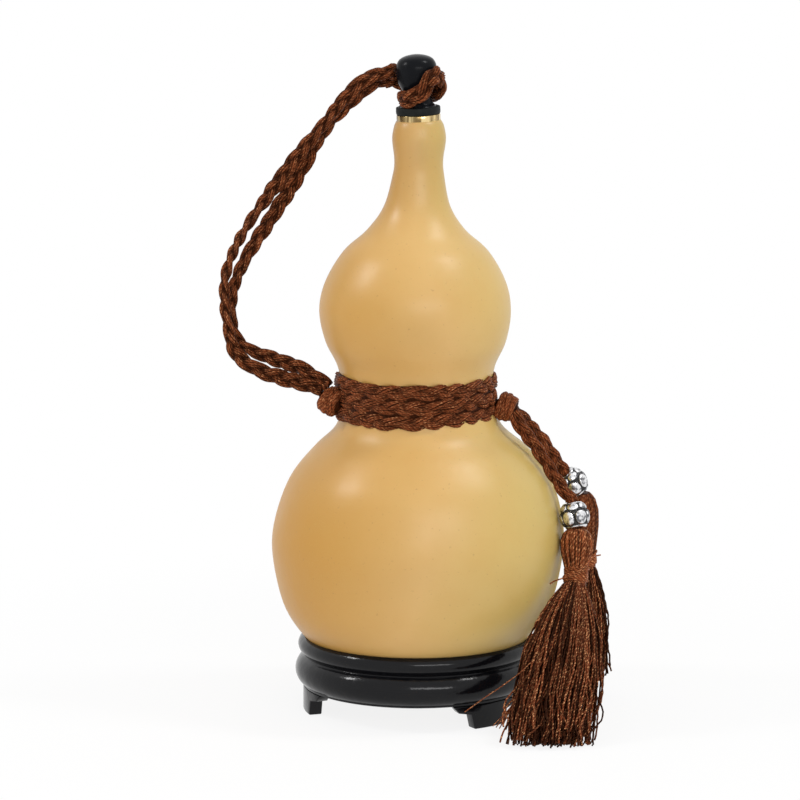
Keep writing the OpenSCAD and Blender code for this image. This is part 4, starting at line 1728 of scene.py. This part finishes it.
@dataclass
class Stand:
    """Turned ring on three feet."""

    foot_height: float = 10.0 * MM
    foot_radius: float = 47.2 * MM
    foot_thickness: float = 5.4 * MM
    foot_width: float = 20.0 * MM
    directions: dict[str, float] = field(
        default_factory=lambda: {"foot_left": -80.0, "foot_front": 40.0, "foot_back": 160.0}
    )

    def build(self, finishes: Finishes) -> None:
        """Builds and dresses the stand.

        Args:
            finishes: Finishes of the bottle.
        """
        ring = Bench.turn("lacquered_stand_ring", self._section(), 160, closed=True)
        Bench.smooth(ring, 35)
        Bench.fit(ring, finishes.lacquer, "stand", "stand_ring")
        for node, direction in self.directions.items():
            self._foot(node, direction, finishes)
        Bench.dress(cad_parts["foot_dowels"], finishes.dowel)
        LOG.info("stand: ring and %d feet", len(self.directions))

    def _section(self) -> Pairs:
        """Draws the section of the ring: heavy bead, cove, lip and seat.

        Returns:
            Radius and height of each corner, in metres.
        """

        def arc(middle: tuple[float, float], radius: float, first: float, sweep: float, steps: int) -> Pairs:
            """Points of an arc in millimetres, from its first angle on through its sweep in degrees."""
            angles = [math.radians(first + sweep * i / steps) for i in range(steps + 1)]
            return [(middle[0] + radius * math.cos(a), middle[1] + radius * math.sin(a)) for a in angles]

        low = [(42.0, 10.0), (42.3, 9.98), (46.2, 10.0), (46.9, 10.3)]
        bead = arc((43.4, 17.0), 7.0, -58, 116, 18)
        lip = arc((45.3, 27.4), 3.9, -50, 118, 12)
        seat = [(46.0, 30.2), (44.0, 27.9), (42.3, 26.0), (42.0, 25.6), (42.0, 10.0)]
        return [(r * MM, z * MM) for r, z in low + bead + [(46.95, 23.3)] + lip + seat]

    def _foot(self, node: str, direction: float, finishes: Finishes) -> None:
        """Cuts one foot from a block bent along the ring, with slanting ends and pointed shoulders.

        Args:
            node: The solid it replaces.
            direction: Direction of the foot in degrees from the front.
            finishes: Finishes of the bottle.
        """
        Bench.clear()
        bpy.ops.mesh.primitive_cube_add(size=1.0, location=(0, 0, 0))
        foot = Bench.named(f"lacquered_{node}")
        w, t, h = self.foot_width, self.foot_thickness, self.foot_height
        foot.data.transform(Matrix.Diagonal((w, t, h, 1.0)))
        Bench.apply(foot, "BEVEL", width=0.5 * MM, segments=3)
        cuts = [((x * w, 0, 0), (1, 0, 0)) for x in (-0.36, -0.18, 0.0, 0.18, 0.36)]
        cuts += [((0, 0, z * h), (0, 0, 1)) for z in (-0.2, 0.12, 0.22)]
        bpy.ops.object.mode_set(mode="EDIT")
        for place, square in cuts:
            bpy.ops.mesh.select_all(action="SELECT")
            bpy.ops.mesh.bisect(plane_co=place, plane_no=square)
        bpy.ops.object.mode_set(mode="OBJECT")
        mid = self.foot_radius - t / 2
        for vertex in foot.data.vertices:
            x, y, z = vertex.co
            f = z / h + 0.5
            slant = 1 - 0.24 * (1 - f)
            flare = 1 + 0.55 * min(max(0.0, (f - 0.62) / 0.1), 1.0) + 0.5 * max(0.0, f - 0.72)
            x *= slant * flare
            a = x / mid
            r = mid - y
            vertex.co = (r * math.sin(a), -r * math.cos(a), z + h / 2)
        foot.data.transform(Matrix.Rotation(math.radians(direction), 4, "Z"))
        foot.data.update()
        Bench.smooth(foot, 40)
        Bench.fit(foot, finishes.lacquer, "stand", node)


@dataclass
class Studio:
    """Floor, lights and camera."""

    distance: float = 2.1
    camera_height: float = 0.4983
    camera_side: float = -0.007
    aim_height: float = 0.1293
    focal: float = 5181.0
    image: float = 800.0
    sensor: float = 36.0
    middle: float = 0.14
    ambient: float = 0.62

    def build(self) -> None:
        """Sets up the stage."""
        self._floor()
        self._world()
        self._lamp("left_softbox", (-0.73, -0.09, 0.77), (0.13, 0.2), 2.4)
        self._lamp("right_softbox", (0.49, -0.1, 0.96), (0.16, 0.24), 2.6)
        self._lamp("front_softbox", (0.45, -1.85, 0.8), (1.3, 0.24), 9.0)
        self._camera()
        bpy.context.scene.view_settings.view_transform = "Standard"

    def _floor(self) -> None:
        """Lays the white floor."""
        Bench.clear()
        bpy.ops.mesh.primitive_plane_add(size=12.0, location=(0, 0, 0))
        floor = Bench.named("studio_floor")
        floor.data.materials.append(StudioWhite().material())

    def _world(self) -> None:
        """Lights the surroundings evenly, and shows them white to the camera and in reflections."""
        tree = Tree("studio", world=True)
        bpy.context.scene.world = tree.owner
        seen = tree.ray("Camera").math("MAXIMUM", tree.ray("Transmission"))
        seen = seen.math("MAXIMUM", tree.ray("Glossy"))
        levels = {"Value": seen, "To Min": self.ambient, "To Max": 1.0}
        strength = tree.node("ShaderNodeMapRange", inputs=levels)
        glow = tree.node("ShaderNodeBackground", inputs={"Color": (1.0, 1.0, 1.0), "Strength": strength})
        tree.end(glow, "ShaderNodeOutputWorld")

    def _lamp(self, name: str, place: Point, size: tuple[float, float], power: float) -> None:
        """Hangs one soft box that looks at the middle of the bottle.

        Args:
            name: Name of the lamp.
            place: Its place.
            size: Its width and height.
            power: Its power in watts.
        """
        lamp = bpy.data.lights.new(name, "AREA")
        lamp.shape = "RECTANGLE"
        lamp.size, lamp.size_y = size
        lamp.energy = power
        holder = bpy.data.objects.new(name, lamp)
        bpy.context.scene.collection.objects.link(holder)
        aim = Vector((0, 0, self.middle)) - Vector(place)
        holder.location = place
        holder.rotation_euler = aim.to_track_quat("-Z", "Y").to_euler()

    def _camera(self) -> None:
        """Stands the camera where the photograph was taken."""
        camera = bpy.data.cameras.new("camera")
        camera.sensor_width = self.sensor
        camera.lens = self.focal * self.sensor / self.image
        camera.clip_end = 50.0
        holder = bpy.data.objects.new("camera", camera)
        bpy.context.scene.collection.objects.link(holder)
        holder.location = (self.camera_side, -self.distance, self.camera_height)
        pitch = math.atan((self.camera_height - self.aim_height) / self.distance)
        holder.rotation_euler = (math.pi / 2 - pitch, 0, 0)
        bpy.context.scene.camera = holder


def front_tail() -> Tail:
    """Sizes of the tail in front, whose tassel lies forward on the table.

    Returns:
        The tail, not built yet.
    """
    top, bottom = (0.0635, -0.0134, 0.0893), (0.0656, -0.0164, 0.0782)
    bead = Bead("front_silver_bead", "front_bead", "front_bead", top, bottom, spin=0.0)
    loose = [
        [
            (0.062, -0.03, 0.05), (0.052, -0.045, 0.036), (0.0435, -0.056, 0.029), (0.0353, -0.062, 0.0239),
            (0.027, -0.0615, 0.018), (0.0191, -0.06, 0.0118),
        ],
    ]
    for k in range(8):
        tip = (0.0304 + 0.0013 * k, -0.0675, 0.0078 - 0.0005 * (k % 3))
        loose.append([(0.05, -0.045, 0.032), (0.0435, -0.053, 0.0225), (0.0385, -0.06, 0.015), tip])
    arms = [
        [
            (0.066, -0.029, 0.0636), (0.0636, -0.0296, 0.0626), (0.0612, -0.0292, 0.0614),
            (0.0588, -0.0282, 0.0601), (0.0562, -0.0265, 0.0588), (0.0544, -0.0253, 0.0574),
        ],
        [
            (0.0616, -0.0292, 0.0612), (0.0649, -0.0302, 0.0629), (0.0684, -0.0293, 0.0658),
            (0.0719, -0.0235, 0.0682), (0.0752, -0.0165, 0.0676),
        ],
    ]
    tassel = Tassel(
        "front",
        "front_tail",
        top=bottom,
        waist=(0.0652, -0.0208, 0.063),
        hem_top=(0.0648, -0.0232, 0.057),
        end=(0.0525, -0.071, 0.0014),
        end_wide=17.9 * MM,
        end_deep=7.0 * MM,
        strands=340,
        ragged=0.13,
        seed=51,
        loose_threads=loose,
        arms=arms,
    )
    route = [
        (0.041, -0.0088, 0.1226), (0.0438, -0.0098, 0.1181), (0.0484, -0.0108, 0.112),
        (0.0533, -0.0118, 0.1047), (0.0574, -0.0124, 0.0982), (0.0609, -0.0129, 0.0928),
        top,
    ]
    nodes = ("front_tail_braid", "front_tassel_loop")
    return Tail("front_tail_plait", "front_tail", route, bead, tassel, nodes, 61, [(0.0, 10.0), (1.0, 10.0)])


def rear_tail() -> Tail:
    """Sizes of the tail behind, whose tassel hangs just clear of the table.

    Returns:
        The tail, not built yet.
    """
    top, bottom = (0.0613, 0.0146, 0.0964), (0.0684, 0.0158, 0.0872)
    bead = Bead("rear_silver_bead", "rear_bead", "rear_bead", top, bottom, spin=25.0)
    tassel = Tassel(
        "rear",
        "rear_tail",
        top=bottom,
        waist=(0.0698, 0.017, 0.0622),
        hem_top=(0.0702, 0.0174, 0.0562),
        end=(0.0705, 0.019, 0.0024),
        end_wide=10.5 * MM,
        end_deep=8.0 * MM,
        strands=260,
        ragged=0.45,
        seed=71,
        # The rear tassel hangs in shade, so its head gets extra painted shade.
        painted_head_shade=0.45,
    )
    route = [
        (0.0404, 0.001, 0.1245), (0.0454, 0.004, 0.119), (0.0522, 0.008, 0.1105), (0.0577, 0.012, 0.1021),
        top,
    ]
    nodes = ("rear_tail_braid", "rear_tassel_loop")
    return Tail("rear_tail_plait", "rear_tail", route, bead, tassel, nodes, 81, [(0.0, -20.0), (1.0, -20.0)])


def main() -> None:
    """Builds the stage and every sub-assembly in order."""
    logging.basicConfig(level=logging.INFO, format="%(name)s: %(message)s")
    Bench.clear()
    finishes = Finishes()
    Studio().build()
    CarryingCord().build(finishes)
    front_tail().build(finishes)
    rear_tail().build(finishes)
    gourd = Gourd()
    gourd.build(finishes)
    Stopper(gourd).build(finishes)
    Stand().build(finishes)


if __name__ == "__main__":
    main()
